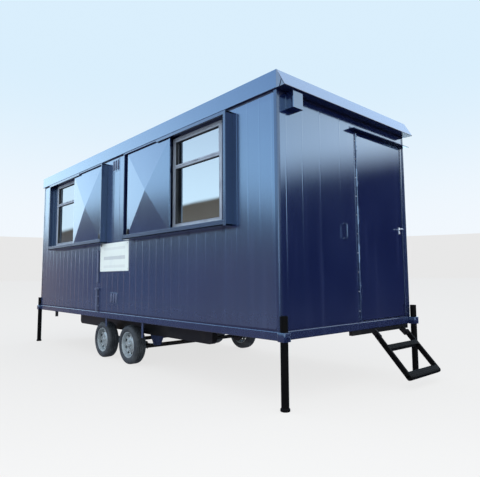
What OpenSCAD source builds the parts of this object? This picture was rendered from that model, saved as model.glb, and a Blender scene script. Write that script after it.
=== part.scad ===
// Towable steel site cabin: long body on a base frame, twin axles, corner
// legs, one end door with steps, two windows with sliding security shutters.
// X runs along the cabin (door end at +X), Y across it (windows at -Y), Z up.
// The origin is on the floor, under the middle of the overall plan box.

/* [Body] */
// Length of the body over its base frame
body_l = 6100; // [5400:50:7200]
// Width of the body over its base frame
body_w = 2286; // [2200:2:2500]
// Height of the base frame's underside above the floor
frame_z = 580; // [560:5:640]
// Height from the base frame's underside to the underside of the roof
body_h = 2281; // [2240:1:2500]
// Height of the base frame's edge members
rail_h = 80; // [70:5:100]
// Thickness of the insulated walls
wall_t = 50; // [40:1:60]

/* [Roof] */
// Height of the band round the roof's edge
fascia_h = 178; // [140:1:220]
// How far the roof band stands out along the long sides
side_eave = 15; // [8:1:30]
// How far the sloping band at the door end stands out at its foot
door_eave = 112; // [80:1:150]
// How far that band stands out at its top
door_eave_top = 10; // [4:1:30]

/* [Door] */
// Distance of the doorway's hinge edge from the cabin's centre line
door_y = 100; // [60:1:140]
// Clear width of the doorway
door_w = 940; // [860:1:950]
// Height of the doorway's foot above the base frame's underside
door_foot = 90; // [85:1:120]
// Height of the doorway's head above the base frame's underside
door_head = 2140; // [2060:1:2160]

/* [Windows] */
// Width of a window opening
window_w = 900; // [860:1:920]
// Height of the window's foot above the base frame's underside
window_foot = 1135; // [1125:1:1160]
// Height of the window's head above the base frame's underside
window_head = 2193; // [2150:1:2200]
// Height of the transom above the base frame's underside
transom_z = 1854; // [1700:1:1900]
// Distance from the middle of the window pair to each window's middle
window_x = 1850; // [1840:1:1890]
// Width of a sliding shutter
shutter_w = 1020; // [1000:1:1024]

/* [Wheels] */
// Outside diameter of the tyres
tyre_d = 510; // [490:1:530]
// Width of the tyres
tyre_w = 155; // [145:1:165]
// Distance between the two axles
axle_gap = 765; // [700:5:820]

/* [Legs and steps] */
// Diameter of the leg tubes
leg_d = 70; // [56:1:72]
// Height of the leg tubes
leg_h = 800; // [780:5:900]
// Length of the steps' side bars from their pivot to the foot tread
step_len = 506; // [440:2:510]
// Slope of the steps below the horizontal, in degrees
step_tilt = 48; // [44:1:54]
// Width of the steps over the side bars
step_w = 653; // [560:1:680]

/* [Hidden] */

navy = [0.10, 0.14, 0.33];
black = [0.07, 0.07, 0.08];
silver = [0.72, 0.74, 0.77];
$fn = 48;

half_l = body_l / 2;
half_w = body_w / 2;
rail_w = 60;
rail_top = frame_z + rail_h;
soffit_z = frame_z + body_h;
fascia_top = soffit_z + fascia_h;
fascia_t = 30;
lip = 8;                                // base frame stands proud of the walls
wall_x = half_l - lip;                  // outside face of the end walls
wall_y = half_w - lip;                  // outside face of the long walls

door_z0 = frame_z + door_foot;
door_z1 = frame_z + door_head;
door_t = 45;
door_gap = 5;
hinge_out = 7.5;                        // hinge axis stands off the wall face
hinge_r = 7;
hinge_pin_r = 4;
hinge_count = 10;
hinge_pitch = (door_z1 - door_z0 - 2 * door_gap) / hinge_count;
hinge_leaf = 38;
lock_y = 978;                           // lever's spindle
lock_z = frame_z + 1118;
spindle_r = 8;
lever_l = 52;
bore_gap = 0.05;                        // a pin's clearance all round in its bore

pair_x = -40;                           // middle of the pair of windows
track_out = 90;                         // shutter tracks stand off the rails
track_in = 335;                         // track's inner end, from pair_x
track_end = 2465;                       // track's outer end, from pair_x
track_flange = 1150;                    // top flange runs from here outwards
track_z0 = frame_z + 1066;
track_z1 = frame_z + 2235;
track_t = 20;
track_lip = 62;
shutter_t = 18;
shutter_fold = 45;
cheek_flange = 35;
shutter_gap = 6;
shutter_face = half_w + track_out - 21; // front plane of the shutters' edges
left_open = 875;                        // open shutters, from pair_x
right_open = 920;
frame_bar = 40;
glass_t = 6;

wheel_r = tyre_d / 2;
wheel_y = half_w - 60 - tyre_w / 2;     // middle plane of the near wheels
axle_mid = -192;                        // middle of the pair of axles
rim_r = 165;
stub_r = 20;
axle_r = 28;
axle_z = wheel_r - 45;                  // the beams are dropped below the hubs

drum_r = 120;
drum_w = 45;
stub_out = 40;                          // stub reaches this far past the wheel's middle
spring_half = 330;
spring_w = 44;
spring_z = axle_z + axle_r + 2;
beam_y = 820;                           // middle plane of the chassis beams
beam_w = 70;
beam_d = 190;
beam_x0 = -1880;
beam_x1 = 1740;
beam_r = 60;
stay_t = 8;
waste_x = -2455;

leg_r = leg_d / 2;
leg_x = half_l + 40;
leg_y = half_w - 10;
foot_r = 43;
foot_h = 25;
clamp_out = 72;

pin_x = half_l + 45;                    // steps' pivot
pin_z = frame_z - 90;
pin_r = 12;
step_y0 = 332;                          // outer face of the left side bar
bar_w = 30;
bar_d = 58;
bar_end = step_len + bar_d / 2;
step_sides = [step_y0, step_y0 + step_w - bar_w];
ear_t = 10;

x_max = pin_x + bar_end * cos(step_tilt) + bar_d / 2 * sin(step_tilt);
x_min = -leg_x - foot_r;
y_max = leg_y + clamp_out;
y_min = -shutter_face - shutter_fold;

// Puts a piece, given from the cabin's centre, into the part's own frame
module placed() translate([-(x_max + x_min) / 2, -(y_max + y_min) / 2, 0]) children();

// Block between two corners
module block(low, high) translate(low) cube(high - low);

// Upright cylinder turned to lie along Y, from y0 to y1
module bar_y(x, z, r, y0, y1)
  translate([x, y0, z]) rotate([-90, 0, 0]) cylinder(r = r, h = y1 - y0);

module side_rails() placed() color(navy)
  for (side = [-1, 1])
    translate([-half_l, side * (half_w - rail_w / 2) - rail_w / 2, frame_z])
      cube([body_l, rail_w, rail_h]);

module end_rails() placed() color(navy)
  for (x = [-half_l, half_l - rail_w])
    translate([x, -half_w + rail_w, frame_z]) cube([rail_w, body_w - 2 * rail_w, rail_h]);

// Joists between the side rails, under the floor
module cross_members() placed() color(black) {
  joists = 9;
  inner = half_l - rail_w;
  for (i = [1 : joists])
    translate([-inner + i * 2 * inner / (joists + 1) - 25, -half_w + rail_w, frame_z])
      cube([50, body_w - 2 * rail_w, 50]);
}

module floor() placed() color([0.35, 0.30, 0.25])
  block([-half_l + rail_w, -half_w + rail_w, frame_z + 50], [half_l - rail_w, half_w - rail_w, rail_top]);

// Long wall at -Y with its two window openings
module window_wall() placed() color(navy)
  difference() {
    block([-wall_x, -wall_y, rail_top], [wall_x, -wall_y + wall_t, soffit_z]);
    for (side = [-1, 1])
      translate([pair_x + side * window_x - window_w / 2, -half_w - 1, frame_z + window_foot])
        cube([window_w, wall_t + 2 * lip, window_head - window_foot]);
  }

module back_wall() placed() color(navy)
  block([-wall_x, wall_y - wall_t, rail_top], [wall_x, wall_y, soffit_z]);

module far_end_wall() placed() color(navy)
  block([-wall_x, -wall_y + wall_t, rail_top], [-wall_x + wall_t, wall_y - wall_t, soffit_z]);

module wall_beside_door() placed() color(navy)
  block([wall_x - wall_t, -wall_y + wall_t, rail_top], [wall_x, door_y, soffit_z]);

module wall_over_door() placed() color(navy)
  block([wall_x - wall_t, door_y, door_z1], [wall_x, door_y + door_w, soffit_z]);

// Post between the doorway and the corner
module latch_post() placed() color(navy)
  block([wall_x - wall_t, door_y + door_w, rail_top], [wall_x, wall_y - wall_t, soffit_z]);

module door_sill() placed() color(navy)
  block([wall_x - wall_t, door_y, rail_top], [wall_x, door_y + door_w, door_z0]);

// Insulated roof slab with a low crown along its length
module roof() placed() color([0.55, 0.57, 0.60]) {
  edge = half_w + side_eave - fascia_t;
  x0 = -half_l - side_eave + fascia_t;
  x1 = half_l - 20;
  translate([x0, 0, 0]) rotate([90, 0, 90]) linear_extrude(x1 - x0)
    polygon([[-edge, soffit_z], [edge, soffit_z], [edge, fascia_top - 12],
             [0, fascia_top + 18], [-edge, fascia_top - 12]]);
}

module side_fascias() placed() color(navy)
  for (side = [-1, 1])
    translate([-half_l - side_eave, side * (half_w + side_eave - fascia_t / 2) - fascia_t / 2, soffit_z])
      cube([body_l + side_eave + door_eave_top, fascia_t, fascia_h]);

// Wedge-shaped band over the door end, nearly flush at its top
module door_end_fascia() placed() color(navy) {
  y0 = half_w + side_eave - fascia_t;
  xb = half_l - 20;
  translate([0, y0, 0]) rotate([90, 0, 0]) linear_extrude(2 * y0)
    polygon([[xb, soffit_z], [half_l + door_eave, soffit_z],
             [half_l + door_eave_top, fascia_top], [xb, fascia_top]]);
  for (side = [-1, 1])
    translate([0, side * (half_w + side_eave - fascia_t / 2) + fascia_t / 2, 0]) rotate([90, 0, 0])
      linear_extrude(fascia_t)
        polygon([[half_l + door_eave_top, soffit_z], [half_l + door_eave, soffit_z],
                 [half_l + door_eave_top, fascia_top]]);
}

module far_end_fascia() placed() color(navy) {
  y0 = half_w + side_eave - fascia_t;
  block([-half_l - side_eave, -y0, soffit_z], [-half_l - side_eave + fascia_t, y0, fascia_top]);
}

// Angle over the doorway that throws rain off the door
module drip_rail() placed() color(navy) {
  y0 = -10;
  block([wall_x, y0, door_z1 + 8], [half_l + 66, half_w, door_z1 + 14]);
  block([wall_x, y0, door_z1 + 14], [wall_x + 5, half_w - lip, door_z1 + 36]);
}

module window_frames() placed() color(silver)
  for (side = [-1, 1]) {
    x0 = pair_x + side * window_x - window_w / 2;
    z0 = frame_z + window_foot;
    z1 = frame_z + window_head;
    zt = frame_z + transom_z;
    difference() {
      block([x0, -wall_y - 4, z0], [x0 + window_w, -wall_y + wall_t, z1]);
      block([x0 + frame_bar, -half_w - 20, z0 + frame_bar],
            [x0 + window_w - frame_bar, 0, zt - frame_bar / 2]);
      block([x0 + frame_bar, -half_w - 20, zt + frame_bar / 2],
            [x0 + window_w - frame_bar, 0, z1 - frame_bar]);
    }
  }

module window_glass() placed() color([0.60, 0.75, 0.82, 0.5])
  for (side = [-1, 1], pane = [0, 1]) {
    x0 = pair_x + side * window_x - window_w / 2 + frame_bar;
    z0 = frame_z + (pane == 0 ? window_foot + frame_bar : transom_z + frame_bar / 2);
    z1 = frame_z + (pane == 0 ? transom_z - frame_bar / 2 : window_head - frame_bar);
    block([x0, -wall_y + 16, z0], [x0 + window_w - 2 * frame_bar, -wall_y + 16 + glass_t, z1]);
  }

// Rails and cheeks that a shutter slides in; side is -1 for the left one
module shutter_track(side) {
  outer = half_w + track_out;
  x_in = pair_x + side * track_in;
  x_out = pair_x + side * track_end;
  x0 = min(x_in, x_out);
  x1 = max(x_in, x_out);
  f0 = min(x_out, pair_x + side * track_flange);
  f1 = max(x_out, pair_x + side * track_flange);
  block([x0, -outer, track_z0], [x1, -wall_y, track_z0 + track_t]);
  block([x0, -outer, track_z0], [x1, -outer + 6, track_z0 + track_lip]);
  block([x0, -outer + 3, track_z1 - track_t], [x1, -wall_y, track_z1]);
  block([f0, -outer, track_z1 - 36], [f1, -outer + 6, track_z1]);
  block([x0, -outer, track_z0], [x0 + track_t, -wall_y, track_z1]);
  block([x1 - track_t, -outer, track_z0], [x1, -wall_y, track_z1]);
  translate([side > 0 ? x1 - cheek_flange : x0, -outer, track_z0])
    cube([cheek_flange, 6, track_z1 - track_z0]);
}

module shutter_tracks() placed() color(navy) {
  shutter_track(-1);
  shutter_track(1);
}

// Sheet folded outwards to a low peak in its middle, with a lock block
module shutter(mid, lock_side) {
  x0 = pair_x + mid - shutter_w / 2;
  x1 = x0 + shutter_w;
  z0 = track_z0 + track_t + shutter_gap;
  z1 = track_z1 - track_t - shutter_gap;
  block([x0, -shutter_face, z0], [x1, -shutter_face + shutter_t, z1]);
  polyhedron(
    points = [[x0, -shutter_face, z0], [x1, -shutter_face, z0],
              [x1, -shutter_face, z1], [x0, -shutter_face, z1],
              [(x0 + x1) / 2, -shutter_face - shutter_fold, (z0 + z1) / 2]],
    faces = [[0, 4, 1], [1, 4, 2], [2, 4, 3], [3, 4, 0], [0, 1, 2, 3]]);
  lock_x = lock_side < 0 ? x0 + 12 : x1 - 62;
  block([lock_x, -shutter_face - 14, z0 + 40], [lock_x + 50, -shutter_face, z0 + 110]);
}

module left_shutter() placed() color(navy) shutter(-left_open, 1);

module right_shutter() placed() color(navy) shutter(right_open, -1);

// Pressed vents: one high between the shutters, one low by the frame
module vent(x0, x1, z0, z1) {
  slots = 3;
  plate_t = 5;
  louvre_r = 14;
  margin = 12;
  pitch = (x1 - x0) / slots;
  block([x0, -wall_y - plate_t, z0], [x1, -wall_y, z1]);
  intersection() {
    block([x0, -half_w - 30, z0], [x1, -wall_y - 1, z1]);
    for (i = [0 : slots - 1])
      translate([x0 + (i + 0.5) * pitch, -wall_y - plate_t, z0 + margin])
        cylinder(r = louvre_r, h = z1 - z0 - 2 * margin);
  }
}

module wall_vents() placed() color(navy) {
  vent(pair_x - 165, pair_x + 30, frame_z + 2075, frame_z + 2255);
  vent(pair_x - 170, pair_x + 50, frame_z + 200, frame_z + 360);
}

module sign_plate() placed() color("white")
  block([pair_x - 515, -wall_y - 4, frame_z + 660], [pair_x + 340, -wall_y, frame_z + 1060]);

// Cover strip, fitting and pipe that run down the wall beside the sign
module service_pipe() placed() color([0.40, 0.45, 0.60]) {
  x = pair_x - 575;
  block([x - 16, -wall_y - 22, frame_z + 500], [x + 16, -wall_y, frame_z + 960]);
  block([x - 24, -wall_y - 42, frame_z + 395], [x + 24, -wall_y, frame_z + 425]);
  translate([x, -wall_y - 24, rail_top]) cylinder(r = 13, h = frame_z + 400 - rail_top);
}

// Short waste pipe below the base frame, near the far end
module waste_pipe() placed() color(black)
  translate([waste_x, -half_w + 90, frame_z - 100]) cylinder(r = 25, h = 150);

module inlet_box() placed() color(navy)
  block([wall_x, -1013, frame_z + 2112], [half_l + 88, -875, soffit_z]);

module door_holdback() placed() color(navy) {
  z0 = frame_z + 940;
  z1 = frame_z + 1110;
  for (z = [z0 + 8, z1 - 8])
    translate([wall_x, -150, z]) rotate([0, 90, 0]) cylinder(r = 6, h = 46);
  translate([wall_x + 40, -150, z0]) cylinder(r = 7, h = z1 - z0);
}

// One knuckle of the long hinge, with its leaf towards +Y or -Y
module knuckle(i, side, r_hole) {
  translate([wall_x, door_y, door_z0 + door_gap + i * hinge_pitch]) difference() {
    union() {
      translate([hinge_out, 0, 0]) cylinder(r = hinge_r, h = hinge_pitch - 1);
      translate([0, side > 0 ? 0 : -hinge_leaf, 0]) cube([4, hinge_leaf, hinge_pitch - 1]);
    }
    if (r_hole > 0)
      translate([hinge_out, 0, -1]) cylinder(r = r_hole, h = hinge_pitch + 1);
  }
}

module hinge_barrels() placed() color(navy)
  for (i = [0 : 2 : hinge_count - 1]) knuckle(i, -1, hinge_pin_r + bore_gap);

module door_leaf() placed() color(navy) {
  block([wall_x - door_t, door_y + door_gap, door_z0 + door_gap],
        [wall_x, door_y + door_w - door_gap, door_z1 - door_gap]);
  for (i = [1 : 2 : hinge_count - 1]) knuckle(i, 1, 0);
  translate([wall_x + hinge_out, door_y, door_z0 + door_gap])
    cylinder(r = hinge_pin_r, h = hinge_count * hinge_pitch - 1);
}

module lock_plate() placed() color(silver) difference() {
  block([wall_x, lock_y - 19, lock_z - 62], [wall_x + 5, lock_y + 19, lock_z + 28]);
  translate([wall_x - 1, lock_y, lock_z]) rotate([0, 90, 0]) cylinder(r = spindle_r + 0.1, h = 10);
}

// Lever handle on its spindle, pointing towards the hinge
module door_lever() placed() color(silver) {
  translate([wall_x, lock_y, lock_z]) rotate([0, 90, 0]) cylinder(r = spindle_r, h = 44);
  bar_y(wall_x + 44, lock_z, 9, lock_y - lever_l, lock_y + 9);
}

// Corner sockets that the legs slide in, each with its clamp screw
module leg_sockets() placed() color(navy)
  for (ex = [-1, 1], sy = [-1, 1]) {
    difference() {
      block([min(ex * half_l, ex * (leg_x + leg_r + 9)), sy * leg_y - leg_r - 9, frame_z],
            [max(ex * half_l, ex * (leg_x + leg_r + 9)), sy * leg_y + leg_r + 9, rail_top]);
      translate([ex * leg_x, sy * leg_y, frame_z - 1]) cylinder(r = leg_r + 1, h = rail_h + 2);
    }
    translate([ex * leg_x, leg_y * sy, frame_z + rail_h / 2]) {
      if (sy > 0) {
        translate([0, leg_r + 8, 0]) rotate([-90, 0, 0]) cylinder(r = 16, h = 14);
        translate([0, leg_r + 8, 0]) rotate([-90, 0, 0]) cylinder(r = 8, h = clamp_out - leg_r - 8);
        translate([0, clamp_out - 10, -45]) cylinder(r = 6, h = 90);
      }
      if (sy < 0)
        translate([ex > 0 ? leg_r + 8 : -leg_r - 30, 0, 0]) rotate([0, 90, 0]) cylinder(r = 12, h = 22);
    }
  }

// Round leg with its foot disc; ex and sy choose the corner
module leg(ex, sy) translate([ex * leg_x, sy * leg_y, 0]) {
  cylinder(r = leg_r, h = leg_h);
  cylinder(r = foot_r, h = foot_h);
}

module leg_near_door() placed() color(black) leg(1, -1);
module leg_off_door() placed() color(black) leg(1, 1);
module leg_near_far() placed() color(black) leg(-1, -1);
module leg_off_far() placed() color(black) leg(-1, 1);

// Two long beams under the base frame, their lower ends rounded
module chassis_beams() placed() color(black)
  for (side = [-1, 1])
    translate([0, side * beam_y + beam_w / 2, 0]) rotate([90, 0, 0]) linear_extrude(beam_w) {
      translate([beam_x0 + beam_r, frame_z - beam_d]) square([beam_x1 - beam_x0 - 2 * beam_r, beam_d]);
      translate([beam_x0, frame_z - beam_d + beam_r]) square([beam_x1 - beam_x0, beam_d - beam_r]);
      for (x = [beam_x0 + beam_r, beam_x1 - beam_r])
        translate([x, frame_z - beam_d + beam_r]) circle(r = beam_r);
    }

// Axle beams with their leaf springs, brake drums and stub axles
module running_gear() placed() color(black)
  for (ax = [-1, 1]) {
    x = axle_mid + ax * axle_gap / 2;
    inner = wheel_y - tyre_w / 2;
    bar_y(x, axle_z, axle_r, -inner + 12, inner - 12);
    for (side = [-1, 1]) {
      y_drum = side > 0 ? inner - 8 - drum_w : -inner + 8;
      y_stub = side > 0 ? inner - 20 : -wheel_y - stub_out;
      bar_y(x, wheel_r, drum_r, y_drum, y_drum + drum_w);
      bar_y(x, wheel_r, stub_r, y_stub, y_stub + wheel_y - inner + stub_out + 20);
      block([x - spring_half, side * beam_y - spring_w / 2, spring_z],
            [x + spring_half, side * beam_y + spring_w / 2, spring_z + 22]);
      block([x - 50, side * beam_y - 32, axle_z], [x + 50, side * beam_y + 32, spring_z + 32]);
    }
  }

// Spring hangers under the chassis beams, and flat stays under the side rails
module under_brackets() placed() color(navy)
  for (side = [-1, 1]) {
    beam_z = frame_z - beam_d;
    for (x = [axle_mid - axle_gap / 2 - spring_half, axle_mid, axle_mid + axle_gap / 2 + spring_half])
      translate([x, side * beam_y + 26, 0]) rotate([90, 0, 0]) linear_extrude(52)
        polygon([[-130, beam_z], [130, beam_z], [46, spring_z + 22], [-46, spring_z + 22]]);
    for (stay = [[-380, 120], [640, 190]])
      translate([stay[0] - 20, side * (half_w - 34) - stay_t / 2, frame_z - stay[1]])
        cube([40, stay_t, stay[1]]);
  }

// Tyre on its side, centred on the origin, turning about Y
module tyre(ax, sy)
  translate([axle_mid + ax * axle_gap / 2, sy * wheel_y, wheel_r]) rotate([90, 0, 0])
  rotate_extrude($fn = 96) {
    edge = 34;
    translate([rim_r, -tyre_w / 2 + edge]) square([wheel_r - rim_r, tyre_w - 2 * edge]);
    translate([rim_r, -tyre_w / 2]) square([wheel_r - rim_r - edge, tyre_w]);
    for (s = [-1, 1])
      translate([wheel_r - edge, s * (tyre_w / 2 - edge)]) circle(r = edge, $fn = 40);
  }

// Pressed rim: barrel, dished disc and bored hub
module rim(ax, sy)
  translate([axle_mid + ax * axle_gap / 2, sy * wheel_y, wheel_r]) rotate([sy < 0 ? 90 : -90, 0, 0])
  rotate_extrude($fn = 96) {
    half = tyre_w / 2 - 14;
    translate([rim_r - 14, -half]) square([14, 2 * half]);
    translate([rim_r - 24, half - 8]) square([24, 8]);
    translate([rim_r - 24, -half]) square([24, 8]);
    translate([100, 22]) square([rim_r - 100, 6]);
    translate([62, 22]) square([40, 18]);
    translate([stub_r + bore_gap, -30]) square([44, 70]);
  }

module tyre_near_front() placed() color([0.14, 0.15, 0.17]) tyre(1, -1);
module tyre_near_rear() placed() color([0.14, 0.15, 0.17]) tyre(-1, -1);
module tyre_off_front() placed() color([0.14, 0.15, 0.17]) tyre(1, 1);
module tyre_off_rear() placed() color([0.14, 0.15, 0.17]) tyre(-1, 1);
module rim_near_front() placed() color(silver) rim(1, -1);
module rim_near_rear() placed() color(silver) rim(-1, -1);
module rim_off_front() placed() color(silver) rim(1, 1);
module rim_off_rear() placed() color(silver) rim(-1, 1);

// Carrier under the door end with two bored ears for the steps
module step_brackets() placed() color(black) {
  block([half_l - 45, -60, frame_z - 48], [half_l - 5, leg_y - 60, frame_z]);
  for (i = [0, 1]) {
    y = i == 0 ? step_sides[0] + bar_w + 5 : step_sides[1] - 5 - ear_t;
    difference() {
      translate([0, y + ear_t, 0]) rotate([90, 0, 0]) linear_extrude(ear_t)
        polygon([[half_l - 45, frame_z], [half_l - 45, frame_z - 60],
                 [pin_x - 22, pin_z - 32], [pin_x + 24, pin_z - 10],
                 [pin_x + 24, pin_z + 16], [half_l - 5, frame_z - 8], [half_l - 5, frame_z]]);
      bar_y(pin_x, pin_z, pin_r + bore_gap, y - 1, y + ear_t + 1);
    }
  }
}

// Ladder-like steps: two side bars, an upper tread and a wider foot tread
module steps() placed() color(black) {
  translate([pin_x, 0, pin_z]) rotate([0, step_tilt, 0]) {
    for (y = step_sides)
      block([-bar_d / 2, y, -bar_d / 2], [bar_end, y + bar_w, bar_d / 2]);
    for (tread = [[118, 178], [bar_end - 88, bar_end]])
      block([tread[0], step_sides[0] + 5, -bar_d / 2], [tread[1], step_sides[1] + 5, bar_d / 2]);
  }
  for (y = [step_sides[0] + 5, step_sides[1] - 11 - ear_t])
    bar_y(pin_x, pin_z, pin_r, y, y + ear_t + 36);
}

side_rails();
end_rails();
cross_members();
floor();
window_wall();
back_wall();
far_end_wall();
wall_beside_door();
wall_over_door();
latch_post();
door_sill();
roof();
side_fascias();
door_end_fascia();
far_end_fascia();
drip_rail();
window_frames();
window_glass();
shutter_tracks();
wall_vents();
sign_plate();
service_pipe();
waste_pipe();
inlet_box();
door_holdback();
hinge_barrels();
leg_sockets();
chassis_beams();
running_gear();
under_brackets();
step_brackets();
door_leaf();
lock_plate();
door_lever();
left_shutter();
right_shutter();
tyre_near_front();
tyre_near_rear();
tyre_off_front();
tyre_off_rear();
rim_near_front();
rim_near_rear();
rim_off_front();
rim_off_rear();
leg_near_door();
leg_off_door();
leg_near_far();
leg_off_far();
steps();
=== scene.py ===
# Towable steel site cabin: folded-steel skins, doors, shutters, wheels, legs and
# steps built as surfaces round the fixed frame, then lit by a made-up sky.
import math

import bmesh
import bpy
import numpy as np
from mathutils import Matrix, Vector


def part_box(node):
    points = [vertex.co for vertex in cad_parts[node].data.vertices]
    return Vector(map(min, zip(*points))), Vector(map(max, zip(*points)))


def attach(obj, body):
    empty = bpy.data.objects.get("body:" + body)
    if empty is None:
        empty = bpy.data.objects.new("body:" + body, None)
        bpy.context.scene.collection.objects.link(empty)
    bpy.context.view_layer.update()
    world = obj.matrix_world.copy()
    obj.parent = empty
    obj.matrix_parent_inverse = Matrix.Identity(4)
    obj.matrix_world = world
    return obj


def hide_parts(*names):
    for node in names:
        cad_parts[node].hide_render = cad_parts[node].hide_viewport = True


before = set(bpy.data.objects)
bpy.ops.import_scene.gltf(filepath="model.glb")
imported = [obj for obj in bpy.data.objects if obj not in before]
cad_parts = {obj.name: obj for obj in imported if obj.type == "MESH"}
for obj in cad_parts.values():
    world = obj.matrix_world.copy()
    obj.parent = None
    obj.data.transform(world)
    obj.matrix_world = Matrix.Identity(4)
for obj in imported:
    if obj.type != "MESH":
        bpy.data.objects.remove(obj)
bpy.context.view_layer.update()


def corners(node):
    # lowest and highest corner of a node as arrays
    low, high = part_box(node)
    return np.array(low), np.array(high)


railLow, railHigh = corners("side_rails")
wallLow, wallHigh = corners("window_wall")
midX, midY = (railLow[:2] + railHigh[:2]) / 2
halfL, halfW = (railHigh[:2] - railLow[:2]) / 2
railZ, railTop, soffit = railLow[2], railHigh[2], wallHigh[2]
wallX = wallHigh[0] - midX              # end walls' faces, from the middle
wallY = midY - wallLow[1]               # long walls' faces, from the middle
print("frame loaded: body", round(halfL * 2, 3), "by", round(halfW * 2, 3))


# shader maths and materials
class Value:
    # one output socket; sums with it add Math nodes to its material
    def __init__(self, tree, socket):
        self.tree, self.socket = tree, socket

    def maths(self, kind, first, second=0.0):
        return addNode(self.tree, "ShaderNodeMath", {"operation": kind}, {0: first, 1: second})[0]

    def __add__(self, other): return self.maths("ADD", self, other)
    def __radd__(self, other): return self.maths("ADD", other, self)
    def __sub__(self, other): return self.maths("SUBTRACT", self, other)
    def __rsub__(self, other): return self.maths("SUBTRACT", other, self)
    def __mul__(self, other): return self.maths("MULTIPLY", self, other)
    def __rmul__(self, other): return self.maths("MULTIPLY", other, self)
    def __truediv__(self, other): return self.maths("DIVIDE", self, other)
    def __lt__(self, other): return self.maths("LESS_THAN", self, other)
    def __gt__(self, other): return self.maths("GREATER_THAN", self, other)
    def absolute(self): return self.maths("ABSOLUTE", self)
    def sine(self): return self.maths("SINE", self)
    def fraction(self): return self.maths("FRACT", self)
    def power(self, other): return self.maths("POWER", self, other)

    def clamp(self):
        return addNode(self.tree, "ShaderNodeClamp", {}, {"Value": self})[0]

    def step(self, low, high):
        # smooth step from 0 at low to 1 at high
        values = {"Value": self, "From Min": low, "From Max": high}
        return addNode(self.tree, "ShaderNodeMapRange", {"interpolation_type": "SMOOTHSTEP"}, values)[0]


def addNode(tree, kind, settings, values):
    # makes a node: its settings first, then numbers or links on its sockets
    node = tree.nodes.new(kind)
    for key, setting in settings.items():
        if key == "stops":
            ramp = node.color_ramp.elements
            while len(ramp) < len(setting):
                ramp.new(0.5)
            for stop, (place, colour) in zip(ramp, setting):
                stop.position, stop.color = place, (*colour, 1)
        else:
            setattr(node, key, setting)
    for key, value in values.items():
        if isinstance(value, Value):
            tree.links.new(value.socket, node.inputs[key])
        else:
            node.inputs[key].default_value = value
    return [Value(tree, socket) for socket in node.outputs]


def mixColours(tree, factor, first, second):
    # colour that goes from first to second as the factor goes from 0 to 1
    first, second = ((*c, 1) if isinstance(c, tuple) else c for c in (first, second))
    return addNode(tree, "ShaderNodeMix", {"data_type": "RGBA"}, {0: factor, 6: first, 7: second})[2]


class Finish:
    # a material with its Principled shader and the place of each point in x, y, z
    def __init__(self, name):
        self.material = bpy.data.materials.new(name)
        self.material.use_nodes = True
        self.tree = self.material.node_tree
        self.tree.nodes.clear()
        self.place = addNode(self.tree, "ShaderNodeTexCoord", {}, {})[3]
        self.x, self.y, self.z = addNode(self.tree, "ShaderNodeSeparateXYZ", {}, {0: self.place})

    def node(self, kind, settings, values):
        return addNode(self.tree, kind, settings, values)

    def noise(self, scale, stretch=(1, 1, 1), detail=3.0):
        place = self.node("ShaderNodeVectorMath", {"operation": "MULTIPLY"}, {0: self.place, 1: stretch})[0]
        values = {"Vector": place, "Scale": scale, "Detail": detail, "Roughness": 0.55}
        return self.node("ShaderNodeTexNoise", {}, values)[0]

    def mix(self, factor, first, second):
        return mixColours(self.tree, factor, first, second)

    def bump(self, height, strength=1.0):
        return self.node("ShaderNodeBump", {}, {"Height": height, "Strength": strength, "Distance": 1.0})[0]

    def done(self, **sockets):
        values = {key.replace("_", " "): value for key, value in sockets.items()}
        for key in values:
            if key in ("Base Color", "Specular Tint") and isinstance(values[key], tuple):
                values[key] = (*values[key], 1)
        shader = self.node("ShaderNodeBsdfPrincipled", {}, values)[0]
        self.node("ShaderNodeOutputMaterial", {}, {0: shader})
        return self.material


paintLook = dict(
    navy=(0.0040, 0.0075, 0.044),
    faded=(0.0080, 0.0135, 0.058),
    chalk=(0.020, 0.028, 0.088),        # pale run-off streaks
    dust=(0.060, 0.058, 0.078),
    dustTop=1.35,                       # road dust fades out at this height
    sheen=(0.32, 0.64, 1.0),            # tint of what the colour coat mirrors
    sheenIor=2.25,
    coatIor=1.60,
    coatRough=0.19,
    ripple=0.0012,                      # height of the sheet's soft waves
    dustAmount=0.32,
)


def paintFinish(name, **changes):
    # gloss navy over steel: upright streaks, soft dents and road dust near the foot
    look = dict(paintLook, **changes)
    f = Finish(name)
    streak = f.noise(9, (1, 1, 0.06), 3)
    cloud = f.noise(1.1)
    grain = f.noise(60)
    low = 1 - f.z.step(railZ, look["dustTop"])
    dust = (low * low * (0.35 + streak) * look["dustAmount"] + (cloud.step(0.55, 0.8) * 0.05)).clamp()
    colour = f.mix(cloud.step(0.35, 0.7), look["navy"], look["faded"])
    colour = f.mix(streak.step(0.52, 0.75) * 0.6, colour, look["chalk"])
    colour = f.mix(dust, colour, look["dust"])
    height = f.noise(2.6, (1, 1, 0.35), 2) * look["ripple"] + streak * 0.00022 + grain * 0.00001
    rough = look["coatRough"]
    return f.done(Base_Color=colour, Roughness=rough + 0.3 * dust + 0.04 * grain, IOR=look["sheenIor"],
                  Specular_Tint=look["sheen"], Normal=f.bump(height), Coat_Weight=1 - 0.45 * dust,
                  Coat_Roughness=rough, Coat_IOR=look["coatIor"])


blackLook = dict(
    base=(0.006, 0.006, 0.007),
    dusty=(0.050, 0.045, 0.040),
    rust=(0.07, 0.025, 0.010),
    dustAmount=0.35,
    gloss=0.3,
    rough=0.34,
)


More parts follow.
